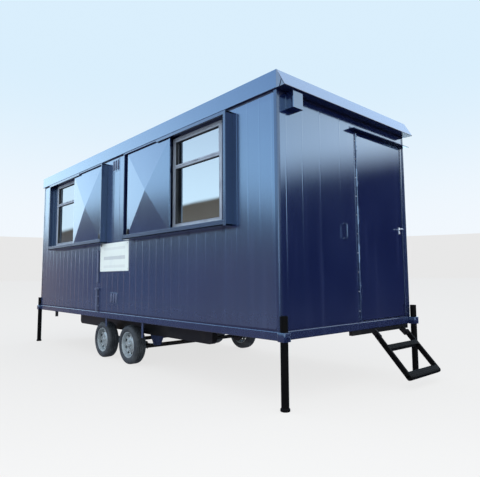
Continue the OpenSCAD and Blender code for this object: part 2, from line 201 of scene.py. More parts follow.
def blackFinish(name, **changes):
    # brushed-on chassis black: thick and thin paint, dust in patches and specks of rust
    look = dict(blackLook, **changes)
    f = Finish(name)
    patch = f.noise(5, (1, 1, 1), 5)
    speck = f.noise(70, (1, 1, 1), 2)
    brush = f.noise(40, (0.15, 1, 1), 2)
    dust = (patch.step(0.45, 0.75) * look["dustAmount"]).clamp()
    rusty = speck.step(0.69, 0.74) * patch.step(0.5, 0.62)
    colour = f.mix(dust, look["base"], look["dusty"])
    colour = f.mix(rusty, colour, look["rust"])
    return f.done(Base_Color=colour, Roughness=look["rough"] + 0.3 * dust + 0.2 * rusty + 0.06 * brush,
                  Specular_IOR_Level=look["gloss"], Normal=f.bump(brush * 0.0004 + patch * 0.0008))


liningLook = dict(inset=0.049, boardWide=0.61, jointWide=0.012)


def liningFinish(name, look):
    # wall cores: navy on the outside, pale lining boards with joints on the inside
    f = Finish(name)
    inX = (f.x - midX).absolute() < float(wallX - look["inset"])
    inY = (f.y - midY).absolute() < float(wallY - look["inset"])
    inside = inX * inY * (f.z < float(soffit) + 0.004)
    joint = ((f.x + f.y) / look["boardWide"]).fraction()
    seam = joint.step(0.0, look["jointWide"]) * (1 - joint.step(1 - look["jointWide"], 1.0))
    scuff = f.noise(3.2, (1, 1, 2), 4)
    board = f.mix(scuff.step(0.3, 0.8), (0.62, 0.60, 0.55), (0.52, 0.50, 0.46))
    board = f.mix(seam, (0.20, 0.19, 0.18), board)
    colour = f.mix(inside, paintLook["navy"], board)
    return f.done(Base_Color=colour, Roughness=0.38 + 0.12 * scuff, Normal=f.bump(scuff * 0.0006))


def metalFinish(name, base, rough, dull, metallic=1.0, scale=30.0):
    # bare metal: fine drawn lines with dull weathered patches
    f = Finish(name)
    lines = f.noise(scale, (1, 1, 0.1), 3)
    patch = f.noise(4.5)
    worn = patch.step(0.42, 0.72)
    return f.done(Base_Color=f.mix(worn, base, dull), Metallic=metallic,
                  Roughness=rough + 0.16 * worn + 0.06 * lines,
                  Normal=f.bump(lines * 0.0002 + patch * 0.0004))


def glassFinish(name):
    # clear pane over a dark room: strong mirror of the sky, faint dust at the foot; its near-black colour at nearly
    # full alpha is painted shade of the unlit room behind
    f = Finish(name)
    low, high = corners("window_glass")
    film = f.noise(3, (1, 1, 1), 4)
    dusty = ((1 - f.z.step(float(low[2]), float(low[2]) + 0.25)) * film).clamp()
    # near-black base colour: painted shade of the unlit room seen through the pane; the paler mix near the foot is
    # dust
    return f.done(Base_Color=f.mix(dusty, (0.012, 0.014, 0.016), (0.09, 0.09, 0.085)),
                  Roughness=0.015 + 0.07 * dusty, IOR=4.0, Alpha=0.93 + 0.05 * dusty,
                  Normal=f.bump(f.noise(1.4, (1, 1, 1), 1) * 0.0009))


def signFinish(name):
    # white board with three plain unbroken bars and patches of grime
    f = Finish(name)
    low, high = corners("sign_plate")
    across = (f.x - float(low[0])) / float(high[0] - low[0])
    upward = (f.z - float(low[2])) / float(high[2] - low[2])
    inset = across.step(0.13, 0.14) * (1 - across.step(0.88, 0.89))
    bands = 0
    for place, half, weight in ((0.80, 0.045, 0.14), (0.47, 0.060, 0.34), (0.17, 0.045, 0.12)):
        bands = bands + ((upward - place).absolute() < half) * weight
    marks = (bands * inset).clamp()
    grime = f.noise(8, (1, 1, 0.4), 4).step(0.45, 0.8)
    colour = f.mix(grime, (0.84, 0.96, 0.99), (0.76, 0.88, 0.94))
    colour = f.mix(marks, colour, (0.16, 0.18, 0.32))
    return f.done(Base_Color=colour, Roughness=0.28 + 0.2 * grime)


def rubberFinish(name):
    # tyre rubber: dust caught in patches, thicker towards the ground
    f = Finish(name)
    patch = f.noise(9, (1, 1, 1), 5)
    grain = f.noise(130, (1, 1, 1), 2)
    low = 1 - f.z.step(0.02, 0.30)
    dust = (patch.step(0.35, 0.8) * (0.45 + 0.4 * low)).clamp()
    colour = f.mix(dust, (0.020, 0.026, 0.034), (0.085, 0.10, 0.115))
    return f.done(Base_Color=colour, Roughness=0.62 + 0.25 * dust, Normal=f.bump(grain * 0.0005, 0.8))


def woodFinish(name):
    # sealed ply deck: long grain, board joints every 1.22 m and worn traffic patches
    f = Finish(name)
    grain = f.noise(14, (0.15, 3, 3), 5)
    wear = f.noise(1.6, (1, 1, 1), 3).step(0.4, 0.75)
    joint = (f.x / 1.22).fraction()
    seam = joint.step(0, 0.003) * (1 - joint.step(0.997, 1))
    colour = f.mix(grain, (0.24, 0.165, 0.095), (0.36, 0.26, 0.16))
    colour = f.mix(wear * 0.5, colour, (0.15, 0.12, 0.10))
    colour = f.mix(seam, (0.04, 0.03, 0.02), colour)
    return f.done(Base_Color=colour, Roughness=0.5 + 0.2 * wear, Normal=f.bump(grain * 0.0008, 0.7))


def roofFinish(name):
    # grey roof sheet with ponding stains and lichen specks
    f = Finish(name)
    stain = f.noise(1.3, (1, 1, 1), 5).step(0.4, 0.7)
    specks = f.noise(45, (1, 1, 1), 2).step(0.66, 0.72)
    colour = f.mix(stain, (0.20, 0.21, 0.23), (0.13, 0.135, 0.14))
    colour = f.mix(specks * 0.6, colour, (0.10, 0.11, 0.07))
    return f.done(Base_Color=colour, Roughness=0.42 + 0.25 * stain, Metallic=0.2,
                  Normal=f.bump(f.noise(3, (1, 1, 1), 2) * 0.002))


navyPaint = paintFinish("navyPaint")
shutterPaint = paintFinish("shutterPaint", ripple=0.0007, coatRough=0.16, dustAmount=0.15)
doorPaint = paintFinish("doorPaint", ripple=0.0008, coatRough=0.085, dustAmount=0.12)
endPaint = paintFinish("endPaint", ripple=0.0010, coatRough=0.12, dustAmount=0.12)
bandPaint = paintFinish("bandPaint", ripple=0.0006, coatRough=0.16)
slopePaint = paintFinish("slopePaint", sheen=(0.72, 0.84, 0.92), sheenIor=2.1, ripple=0.0006, coatRough=0.2)
trimPaint = paintFinish("trimPaint", coatIor=1.4, sheenIor=1.8, ripple=0.0004, coatRough=0.22, dustAmount=0.12)
chassisBlack = blackFinish("chassisBlack")
legBlack = blackFinish("legBlack", base=(0.0025, 0.0025, 0.003), dusty=(0.018, 0.017, 0.016),
                       rust=(0.03, 0.012, 0.006), dustAmount=0.10, gloss=0.06, rough=0.50)
wallCore = liningFinish("wallCore", liningLook)
aluminium = metalFinish("aluminium", (0.37, 0.44, 0.55), 0.45, (0.28, 0.33, 0.43), metallic=0.15)
chrome = metalFinish("chrome", (0.80, 0.81, 0.84), 0.12, (0.62, 0.62, 0.64), scale=60)
zinc = metalFinish("zinc", (0.46, 0.47, 0.50), 0.38, (0.28, 0.27, 0.27))
rimSilver = metalFinish("rimSilver", (0.36, 0.42, 0.46), 0.45, (0.20, 0.23, 0.25), metallic=0.3)
pipeGrey = metalFinish("pipeGrey", (0.11, 0.14, 0.24), 0.45, (0.08, 0.10, 0.18), metallic=0.0)
paneGlass = glassFinish("paneGlass")
signWhite = signFinish("signWhite")
rubber = rubberFinish("rubber")
plyWood = woodFinish("plyWood")
roofGrey = roofFinish("roofGrey")
print("finishes made")


# surfaces
def gridFaces(rows, columns, loopRows=False, loopColumns=False):
    # quads of a rows by columns grid of points, joined round where it loops
    r = np.arange(rows if loopRows else rows - 1)[:, None]
    c = np.arange(columns if loopColumns else columns - 1)[None, :]
    r2, c2 = (r + 1) % rows, (c + 1) % columns
    here, beyond = r * columns, r2 * columns
    return np.stack(np.broadcast_arrays(here + c, here + c2, beyond + c2, beyond + c), -1).reshape(-1, 4)


def shell(points, loopRows=False, loopColumns=False, caps=False):
    # a grid of points as (points, quads, caps); caps close its first and last row
    rows, columns = points.shape[:2]
    ends = [list(range(columns)), list(range((rows - 1) * columns, rows * columns))] if caps else []
    return points.reshape(-1, 3), gridFaces(rows, columns, loopRows, loopColumns), ends


def roundRect(width, height, radius, steps=3):
    # rectangle outline with quarter-circle corners, anticlockwise round its middle; one
    # more point each side of a corner keeps the flats shading flat
    a = np.linspace(0, np.pi / 2, steps + 1)
    beside = min(0.003, 0.3 * (min(width, height) - 2 * radius))
    quarter = np.stack([np.cos(a), np.sin(a)], -1) * radius
    quarter = np.concatenate([[[radius, -beside]], quarter, [[-beside, radius]]])
    turns = np.array([[[1, 0], [0, 1]], [[0, 1], [-1, 0]], [[-1, 0], [0, -1]], [[0, -1], [1, 0]]], float)
    middles = np.array([[1, 1], [-1, 1], [-1, -1], [1, -1]]) * (np.array([width, height]) / 2 - radius)
    return np.concatenate([quarter @ turn + middle for turn, middle in zip(turns, middles)])


def circle(radius, steps=20):
    # points at equal angles round a circle
    a = np.linspace(0, 2 * np.pi, steps, endpoint=False)
    return np.stack([np.cos(a), np.sin(a)], -1) * radius


def drawIn(profile, depth):
    # each outline point moved inwards by depth along the mean of its two edges' normals
    before, after = profile - np.roll(profile, 1, 0), np.roll(profile, -1, 0) - profile
    edges = [e / np.maximum(np.linalg.norm(e, axis=1, keepdims=True), 1e-9) for e in (before, after)]
    normal = sum(np.stack([e[:, 1], -e[:, 0]], -1) for e in edges)
    normal /= np.maximum(np.linalg.norm(normal, axis=1, keepdims=True), 1e-9)
    area = np.sum(profile[:, 0] * np.roll(profile[:, 1], -1) - profile[:, 1] * np.roll(profile[:, 0], -1))
    return profile - np.sign(area) * normal * depth


def bar(start, end, profile, side, chamfer=0.0015):
    # profile carried straight from start to end, its two ends drawn in by chamfer
    start, end, side = (np.array(v, float) for v in (start, end, side))
    length = np.linalg.norm(end - start)
    along = (end - start) / length
    side = side - along * (side @ along)
    side /= np.linalg.norm(side)
    up = np.cross(along, side)
    small = drawIn(profile, chamfer)
    stations = [(0, small), (chamfer, profile), (length - chamfer, profile), (length, small)]
    rings = [start + along * s + outline[:, :1] * side + outline[:, 1:] * up for s, outline in stations]
    return shell(np.stack(rings), loopColumns=True, caps=True)


def box(low, high, radius=0.003, along=None, steps=2):
    # rounded bar filling the box between two corners, carried along its longest side
    low, high = np.array(low, float), np.array(high, float)
    size = high - low
    along = int(np.argmax(size)) if along is None else along
    a, b = [k for k in range(3) if k != along]
    middle = (low + high) / 2
    start, end = middle.copy(), middle.copy()
    start[along], end[along] = low[along], high[along]
    side = np.eye(3)[a]
    up = np.cross(np.eye(3)[along], side)
    width, height = size[a], size[int(np.argmax(np.abs(up)))]
    radius = min(radius, width * 0.45, height * 0.45)
    return bar(start, end, roundRect(width, height, radius, steps), side, radius * 0.7)


def tube(path, radius, steps=14, normal=(0, 0, 1)):
    # circle of a radius carried along a flat curve whose plane has that normal
    path, normal = np.array(path, float), np.array(normal, float)
    along = np.gradient(path, axis=0)
    along /= np.linalg.norm(along, axis=1, keepdims=True)
    up = np.cross(along, normal)
    up /= np.linalg.norm(up, axis=1, keepdims=True)
    ring = circle(radius, steps)
    points = path[:, None] + ring[:, :1] * normal + ring[None, :, 1, None] * up[:, None]
    return shell(points, loopColumns=True, caps=True)


def lathe(profile, centre, axis, steps=48, closed=False):
    # profile of (radius, distance) turned round an axis through centre
    profile, centre, axis = np.array(profile, float), np.array(centre, float), np.array(axis, float)
    side = np.array([0.0, 0, 1]) if abs(axis[2]) < 0.5 else np.array([1.0, 0, 0])
    up = np.cross(axis, side)
    ring = circle(1, steps)
    around = ring[:, :1] * side + ring[:, 1:] * up
    points = centre + profile[:, 1, None, None] * axis + profile[:, 0, None, None] * around
    return shell(points, loopRows=closed, loopColumns=True)


def frameLoop(low, high, depth, outline, axis):
    # mitred rectangular frame: outline of (inset, out) carried round a rectangle;
    # low and high are the rectangle's corners, depth its plane, axis the plane's normal
    a, b = [k for k in range(3) if k != axis]
    inset, out = outline[:, 0], outline[:, 1]
    rings = []
    for sa, sb in ((0, 0), (1, 0), (1, 1), (0, 1)):
        ring = np.zeros((len(outline), 3))
        ring[:, a] = high[0] - inset if sa else low[0] + inset
        ring[:, b] = high[1] - inset if sb else low[1] + inset
        ring[:, axis] = depth + out
        rings.append(ring)
    return shell(np.stack(rings), loopRows=True, loopColumns=True)


def joined(shells):
    # several shells as one list of points and faces
    points, quads, ends, count = [], [], [], 0
    for verts, faces, caps in shells:
        points.append(verts)
        quads.append(faces + count)
        ends += [[i + count for i in cap] for cap in caps]
        count += len(verts)
    return np.concatenate(points), np.concatenate(quads), ends


def piece(name, shells, body, material, replaced=(), smooth=38.0, facing=None):
    # one object from its shells; closed shells are turned to face outwards
    points, quads, ends = joined(shells)
    mesh = bpy.data.meshes.new(name)
    mesh.from_pydata(points.tolist(), [], quads.tolist() + ends)
    work = bmesh.new()
    work.from_mesh(mesh)
    bmesh.ops.remove_doubles(work, verts=work.verts, dist=2e-5)
    bmesh.ops.dissolve_degenerate(work, edges=work.edges, dist=1e-6)
    if facing is None:
        bmesh.ops.recalc_face_normals(work, faces=work.faces)
    work.to_mesh(mesh)
    work.free()
    if facing is not None:
        normals = np.zeros(len(mesh.polygons) * 3)
        mesh.polygons.foreach_get("normal", normals)
        if normals.reshape(-1, 3).sum(0) @ np.array(facing) < 0:
            mesh.flip_normals()
    mesh.shade_smooth()
    mesh.set_sharp_from_angle(angle=math.radians(smooth))
    mesh.materials.append(material)
    thing = bpy.data.objects.new(name, mesh)
    bpy.context.scene.collection.objects.link(thing)
    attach(thing, body)
    if replaced:
        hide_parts(*replaced)
    return thing


def at(x, y, z):
    # a point given from the middle of the body, in the frame
    return np.array([midX + x, midY + y, z])


def centred(node):
    # a node's box given from the middle of the body
    low, high = corners(node)
    return low - at(0, 0, 0), high - at(0, 0, 0)


def levelRing(outline, x, y, z):
    # outline of (x, y) laid level round a point
    return at(x, y, z) + np.pad(outline, ((0, 0), (0, 1)))


def prism(sections):
    # outlines of (x, z), each stood across the body at its own y, joined and capped
    rings = [at(0, y, 0) + np.stack([p[:, 0], 0 * p[:, 0], p[:, 1]], -1) for y, p in sections]
    return shell(np.stack(rings), loopColumns=True, caps=True)


def easedPrism(outline, y0, y1, back, draw):
    # one outline from y0 to y1, its ends drawn in by draw over the last stretch back
    small = drawIn(outline, draw)
    return prism([(y0, small), (y0 + back, outline), (y1 - back, outline), (y1, small)])


# wall skins
skinLook = dict(
    rows=36,
    proud=0.0022,                       # sheet stands off the wall's core
    ribHigh=0.0009,
    ribWide=0.013,
    ribPitch=0.165,
    sag=0.0009,                         # slight dishing of the sheet between ribs
    waves=5,
    tuck=0.001,                         # its rim ends behind the core's face
    seed=11,
)
openingLook = dict(windowWide=0.900, doorY=(0.100, 1.040), doorGap=0.005)


def ribbedSkin(name, facing, ribs, holes, look, paint):
    # upright sheet: out(u, z) = proud + rib bumps at each rib + low waves of the sheet;
    # u runs along the wall, facing is (x, y) and holes are (u0, u1, z0, z1)
    half = wallX if facing[1] else wallY
    edges = [-half, half] + [e for h in holes for e in h[:2]]
    wide = look["ribWide"]
    ribAt = np.array([r for r in ribs if all(abs(r - e) > wide for e in edges)])
    steps = np.array([-0.95, -0.5, -0.24, 0.24, 0.5, 0.95]) * wide
    between = ribAt[:-1] + np.diff(ribAt) / 2
    u = np.unique(np.round(np.concatenate([edges, (ribAt[:, None] + steps).ravel(), between]), 5))
    levels = np.linspace(railTop, soffit, look["rows"])
    z = np.unique(np.round(np.concatenate([levels, [e for h in holes for e in h[2:]]]), 5))
    uu, zz = np.meshgrid(u, z)
    near = np.abs(uu[..., None] - ribAt).min(-1)
    bump = np.clip((0.5 * wide - near) / (0.26 * wide), 0, 1) * look["ribHigh"]
    rng = np.random.default_rng(look["seed"])
    wave = np.zeros_like(uu)
    for _ in range(look["waves"]):
        ku, kz, phase = rng.uniform(0.8, 4.0), rng.uniform(0.6, 2.6), rng.uniform(0, 6.28)
        wave += np.sin(ku * uu + kz * zz + phase)
    out = look["proud"] + bump + look["sag"] * wave / look["waves"]
    out[:, [0, -1]] = -look["tuck"]
    out[[0, -1], :] = -look["tuck"]
    quads = gridFaces(len(z), len(u))
    um, zm = uu.ravel()[quads].mean(1), zz.ravel()[quads].mean(1)
    keep = np.ones(len(quads), bool)
    for u0, u1, z0, z1 in holes:
        keep &= ~((um > u0) & (um < u1) & (zm > z0) & (zm < z1))
    x = facing[0] * (wallX + out) if facing[0] else uu
    y = facing[1] * (wallY + out) if facing[1] else uu
    points = at(0, 0, 0) + np.stack([x, y, zz], -1).reshape(-1, 3)
    sheet = [(points, quads[keep], [])]
    return piece(name, sheet, "cabin", paint, smooth=60, facing=(*facing, 0))


frameLow, frameHigh = centred("window_frames")
windowZ = (frameLow[2], frameHigh[2])
windowWide = openingLook["windowWide"]
windows = [(frameLow[0], frameLow[0] + windowWide), (frameHigh[0] - windowWide, frameHigh[0])]
doorLow, doorHigh = centred("door_leaf")
doorGap = openingLook["doorGap"]
doorway = (*openingLook["doorY"], doorLow[2] - doorGap, doorHigh[2] + doorGap)
ribsLong = np.arange(-wallX + 0.08, wallX - 0.05, skinLook["ribPitch"])
ribsFar = (-0.95, -0.62, -0.31, 0.0, 0.31, 0.62, 0.95)
ribsDoor = (-1.02, -0.79, -0.52, -0.19)
for name, facing, ribs, holes, paint, changes in (
        ("windowSkin", (0, -1), ribsLong, [(*w, *windowZ) for w in windows], navyPaint, {}),
        ("backSkin", (0, 1), ribsLong, [], navyPaint, dict(seed=5, ribHigh=0.0020)),
        ("farEndSkin", (-1, 0), ribsFar, [], endPaint, dict(seed=8, ribHigh=0.0020)),
        ("doorEndSkin", (1, 0), ribsDoor, [doorway], endPaint, dict(seed=3, sag=0.0010, ribHigh=0.0007))):
    ribbedSkin(name, facing, ribs, holes, dict(skinLook, **changes), paint)
print("skins made")

# upright corner angles, rounded on the outside
trimLook = dict(leg=0.038, thick=0.003, radius=0.010, proud=0.0045)


def cornerAngle(look):
    # L-shaped outline with its outer bend rounded, corner at the origin, legs to -a and -b
    a = np.linspace(0, np.pi / 2, 6)
    r, t, leg = look["radius"], look["thick"] + 0.004, look["leg"]
    bend = np.stack([-r + r * np.cos(a), -r + r * np.sin(a)], -1)
    return np.concatenate([[[0, -leg]], bend, [[-leg, 0], [-leg, -t], [-t, -t], [-t, -leg]]])


trims = []
for sides in np.array([[1, -1], [1, 1], [-1, -1], [-1, 1]]):
    outline = sides * (cornerAngle(trimLook) + [wallX + trimLook["proud"], wallY + trimLook["proud"]])
    rings = [levelRing(outline, 0, 0, z) for z in (railTop + 0.001, soffit)]
    trims.append(shell(np.stack(rings), loopColumns=True, caps=True))
piece("cornerTrims", trims, "cabin", trimPaint)

# base frame: channel carried round the body's edge, open side inwards
railLook = dict(wide=0.060, thick=0.006, radius=0.009)


def baseChannel(look, height):
    # C outline of (inset, z): rounded outer corners, flanges turned inwards
    a = np.linspace(0, np.pi / 2, 5)
    r, t, w = look["radius"], look["thick"], look["wide"]
    foot = np.stack([r - r * np.cos(a), r - r * np.sin(a)], -1)
    head = foot[::-1] * [1, -1] + [0, height]
    face = [[0, r + 0.003], [0, height - r - 0.003]]
    inner = [[w, height], [w, height - t], [t, height - t], [t, t], [w, t]]
    return np.concatenate([[[w, 0]], foot[::-1], face, head[::-1], inner])


channel = baseChannel(railLook, railTop - railZ)
rails = frameLoop(at(-halfL, -halfW, 0)[:2], at(halfL, halfW, 0)[:2], railZ, channel, 2)
piece("baseFrame", [rails], "cabin", trimPaint, ("side_rails", "end_rails"))

# roof edge and roof sheet
bandLow, bandHigh = centred("side_fascias")
slopeLow, slopeHigh = centred("door_end_fascia")
roofLow, roofHigh = centred("roof")
bandTop = bandHigh[2]


def bandOutline(height, turnIn=0.028, lip=0.012):
    # outline of (inset, z) of the folded edge band: face, top flange turned in, foot lip
    a = np.linspace(0, np.pi / 2, 5)
    r = 0.006
    top = np.stack([r - r * np.cos(a), height - r + r * np.sin(a)], -1)
    foot = np.stack([r - r * np.cos(a), r - r * np.sin(a)], -1)[::-1]
    face = [[0, r + 0.003], [0, height - r - 0.003]]
    inner = [[turnIn, height], [turnIn, height - 0.004], [0.004, height - 0.010], [0.004, lip], [turnIn, lip]]
    return np.concatenate([[[turnIn, 0]], foot, face, top, inner])


band = bandOutline(bandTop - soffit)
sections = []
for x, y, sx, sy in ((bandHigh[0], bandLow[1], 0, 1), (bandLow[0], bandLow[1], 1, 1),
                     (bandLow[0], bandHigh[1], 1, -1), (bandHigh[0], bandHigh[1], 0, -1)):
    sections.append(at(x, y, soffit) + np.stack([sx * band[:, 0], sy * band[:, 0], band[:, 1]], -1))
edgeBand = shell(np.stack(sections), loopColumns=True, caps=True)
piece("roofBand", [edgeBand], "cabin", bandPaint, ("side_fascias", "far_end_fascia"))

# the band over the door slopes out to its foot; gusset plates close its two ends, with
# one slanted slit left between the upper and the lower plate
slopeLook = dict(gap=0.006, ease=0.002, plate=0.007)
topX, footX, backX = bandHigh[0] + 0.001, slopeHigh[0], slopeLow[0]
slope = np.array([
    [backX, soffit + 0.0015], [footX - 0.003, soffit + 0.0015], [footX, soffit + 0.004],
    [footX - 0.001, soffit + 0.009], [topX + 0.004, bandTop - 0.004], [topX - 0.003, bandTop], [backX, bandTop]])
upper = np.array([[topX - 0.003, soffit + 0.001], [topX + 0.036, soffit + 0.001], [footX - 0.040, soffit + 0.066],
                  [topX + 0.003, bandTop - 0.004], [topX - 0.003, bandTop - 0.003]])
lower = np.array([[topX + 0.052, soffit + 0.001], [footX - 0.004, soffit + 0.001], [footX - 0.034, soffit + 0.056]])
doorBand = [easedPrism(slope, bandLow[1] + slopeLook["gap"], bandHigh[1] - slopeLook["gap"],
                       slopeLook["ease"], slopeLook["ease"])]
for y in (bandLow[1] + 0.0005, bandHigh[1] - 0.0075):
    doorBand += [prism([(y, plate), (y + slopeLook["plate"], plate)]) for plate in (upper, lower)]
piece("doorEndBand", doorBand, "cabin", slopePaint, ("door_end_fascia",), smooth=8)

roofLook = dict(seamPitch=0.605, seamWide=0.026, seamHigh=0.012, fall=0.030, edge=0.006)


def roofSheet(look):
    # crowned sheet: z(x, y) = straight fall from the ridge to each side + a low seam every pitch
    x0, x1, half = roofLow[0] + 0.002, roofHigh[0] - 0.002, roofHigh[1] - 0.002
    seams = np.arange(x0 + 0.30, x1 - 0.1, look["seamPitch"])
    steps = np.array([-0.5, -0.32, 0.32, 0.5]) * look["seamWide"]
    edge = look["edge"]
    x = np.concatenate([[x0, x0 + edge], (seams[:, None] + steps).ravel(), [x1 - edge, x1]])
    y = np.concatenate([[-half], np.linspace(-half + edge, half - edge, 15), [half]])
    xx, yy = np.meshgrid(x, y)
    near = np.abs(xx[..., None] - seams).min(-1)
    fall = look["fall"] * (1 - np.abs(yy) / half)
    seam = look["seamHigh"] * (near < 0.4 * look["seamWide"]) * (np.abs(yy) < half - 0.02)
    zz = bandTop - 0.009 + fall + seam
    zz[0], zz[-1], zz[:, 0], zz[:, -1] = [bandTop - 0.016] * 4
    return at(0, 0, 0) + np.stack([xx, yy, zz], -1)


piece("roofSheet", [shell(roofSheet(roofLook))], "cabin", roofGrey, smooth=25, facing=(0, 0, 1))
print("roof and bands made")

# windows
windowLook = dict(
    transomUp=1.854,                    # transom's middle above the foot of the base frame
    bar=0.040,
    sashBar=0.020,
    bead=0.010,
    gasket=0.005,
)


def rolledOutline(width, out, back, radius=0.003):
    # outline of (inset, out) of a flat bar with its two front corners rounded
    a = np.linspace(0, np.pi / 2, 4)
    left = np.stack([radius - radius * np.cos(a), out - radius + radius * np.sin(a)], -1)
    right = np.stack([width - radius + radius * np.sin(a), out - radius + radius * np.cos(a)], -1)
    return np.concatenate([[[0, back]], left, right, [[width, back]]]) * [1, -1]


def windowParts(x0, x1, look):
    # outer frame, transom, a top-hung sash above it, glazing beads and rubber gaskets
    z0, z1 = windowZ
    face, zt = midY - wallY, railZ + look["transomUp"]
    left, right = midX + x0, midX + x1

    def edging(low, high, *profile):
        return frameLoop(low, high, face, rolledOutline(*profile), 1)

    upper = ((left + 0.026, zt - 0.002), (right - 0.026, z1 - 0.026))
    lower = ((left + 0.034, z0 + 0.034), (right - 0.034, zt - 0.013))
    metal = [edging((left - 0.004, z0 - 0.004), (right + 0.004, z1 + 0.004), 0.014, 0.011, -0.02),
             edging((left, z0), (right, z1), look["bar"] - 0.008, 0.006, -0.050),
             box((left + 0.03, face - 0.007, zt - 0.020), (right - 0.03, face + 0.045, zt + 0.020), 0.004),
             edging(*upper, look["sashBar"], 0.012, -0.020),
             edging(*lower, look["bead"], 0.004, -0.020),
             box((left + 0.40, face - 0.018, zt + 0.002), (right - 0.40, face - 0.008, zt + 0.012), 0.003)]
    black = []
    for (a0, b0), (a1, b1), grow in ((*upper, look["sashBar"]), (*lower, look["bead"])):
        grow = grow - 0.001             # the gasket starts just under the bar before it
        black.append(edging((a0 + grow, b0 + grow), (a1 - grow, b1 - grow), look["gasket"], 0.003, -0.022, 0.002))
    return metal, black


metal, black = [], []
for x0, x1 in windows:
    m, b = windowParts(x0, x1, windowLook)
    metal += m
    black += b
piece("windowBars", metal, "cabin", aluminium, ("window_frames",))
piece("windowGaskets", black, "cabin", rubber)
print("windows made")

# shutter tracks and shutters
trackLook = dict(
    out=0.090,                          # the track's front stands this far off the base frame
    thick=0.005,
    radius=0.004,
    shelf=0.020,
    lip=0.062,
    cheek=0.020,
    flange=0.035,
    headDeep=0.036,
    headFrom=1.150,                     # the deep stretch of the head starts here
    inner=0.335,                        # inner ends, from the middle of the pair
    tabs=4,
)


def trackShells(x0, x1, cheekSide, look):
    # folded box: shelf with an upstand, head rail, two cheeks and the outer cheek's flange
    yOut, yWall, z0, z1 = -halfW - look["out"], -wallY, trackLow[2], trackHigh[2]
    t, r, cheek = look["thick"], look["radius"], look["cheek"]
    a0, a1 = (x1 - look["flange"], x1) if cheekSide > 0 else (x0, x0 + look["flange"])
    h0, h1 = (pairX + look["headFrom"], x1) if cheekSide > 0 else (x0, pairX - look["headFrom"])
    parts = [box(at(x0, yOut, z0), at(x1, yWall, z0 + look["shelf"]), r),
             box(at(x0, yOut, z0), at(x1, yOut + t, z0 + look["lip"]), 0.0024),
             box(at(x0, yOut + 0.003, z1 - look["shelf"]), at(x1, yWall, z1), r),
             box(at(x0, yOut, z0 + 0.001), at(x0 + cheek, yWall, z1 - 0.001), r, along=2),
             box(at(x1 - cheek, yOut, z0 + 0.001), at(x1, yWall, z1 - 0.001), r, along=2),
             box(at(a0, yOut - 0.001, z0), at(a1, yOut + t, z1), 0.0024),
             box(at(h0, yOut, z1 - look["headDeep"]), at(h1, yOut + t, z1), 0.0024)]
    for x in np.linspace(x0 + 0.15, x1 - 0.15, look["tabs"]):      # fixing tabs under the shelf
        parts.append(box(at(x - 0.02, -wallY - 0.006, z0 - 0.045), at(x + 0.02, -wallY, z0 + 0.004), 0.0025))
    return parts


trackLow, trackHigh = centred("shutter_tracks")
pairX = (trackLow[0] + trackHigh[0]) / 2
tracks = (trackShells(trackLow[0], pairX - trackLook["inner"], -1, trackLook)
          + trackShells(pairX + trackLook["inner"], trackHigh[0], 1, trackLook))
piece("shutterTracks", tracks, "cabin", trimPaint, ("shutter_tracks",))


shutterLook = dict(fold=0.70)


def shutterShells(node, lockSide):
    # four-sided pressing: out(s) = fold * (1 - s) along rays from the middle to the rim,
    # so the creases run corner to peak; the rim folds back to form the sheet's edge
    low, high = corners(node)
    centre = (low + high) / 2
    hx, hz = (high[0] - low[0]) / 2, (high[2] - low[2]) / 2
    rim = high[1] - 0.018
    fold = (rim - low[1]) * shutterLook["fold"]
    k = np.linspace(-1, 1, 13)[:-1]
    one = np.ones_like(k)
    edge = np.concatenate([np.stack(pair, -1) for pair in ((k, -one), (one, k), (-k, one), (-one, -k))])
    profile = [(1e-4, rim - fold)] + [(s, rim - fold * (1 - s)) for s in np.linspace(0.1, 0.985, 10)]
    profile += [(0.9985, rim + 0.0005), (1.0, rim + 0.003), (1.0, high[1]), (0.975, high[1]),
                (0.972, rim + 0.006), (0.02, rim + 0.006), (1e-4, rim + 0.006)]
    rings = [np.stack([centre[0] + s * hx * edge[:, 0], np.full(len(edge), y), centre[2] + s * hz * edge[:, 1]], -1)
             for s, y in profile]
    sheet = shell(np.stack(rings), loopColumns=True, caps=True)
    x = high[0] - 0.037 if lockSide > 0 else low[0] + 0.037
    z = low[2] + 0.075
    lock = [box((x - 0.025, rim - 0.014, z - 0.035), (x + 0.025, rim + 0.004, z + 0.035), 0.004, along=1),
            box((x - 0.014, rim - 0.020, z - 0.024), (x + 0.014, rim - 0.010, z + 0.012), 0.004, along=1)]
    return [sheet], lock


for side, lockSide in (("left", 1), ("right", -1)):
    sheet, lock = shutterShells(side + "_shutter", lockSide)
    piece(side + "Shutter", sheet, side + "_shutter", shutterPaint, (side + "_shutter",), smooth=2.5)
    piece(side + "ShutterLock", lock, side + "_shutter", chassisBlack)
print("shutters made")

# vents: each place is x from the middle of the shutters, z from the foot of the base frame
ventLook = dict(slots=3, strip=0.026, places=((-0.165, 0.030, 2.075, 2.255), (-0.170, 0.050, 0.200, 0.360)))


def louvre(x, z0, z1, width, base):
    # half-round pressed strip: out(a) = width/2 * sin(a), closed to a point at each end
    a = np.linspace(0, np.pi, 9)
    z = np.array([z0, z0 + 0.006, z0 + 0.02, z1 - 0.02, z1 - 0.006, z1])
    grow = np.array([0.05, 0.6, 1, 1, 0.6, 0.05])
    points = np.stack([x + grow[:, None] * width / 2 * np.cos(a), base - grow[:, None] * width / 2 * np.sin(a),
                       np.broadcast_to(z[:, None], (6, 9))], -1)
    return shell(at(0, 0, 0) + points, loopColumns=True, caps=True)


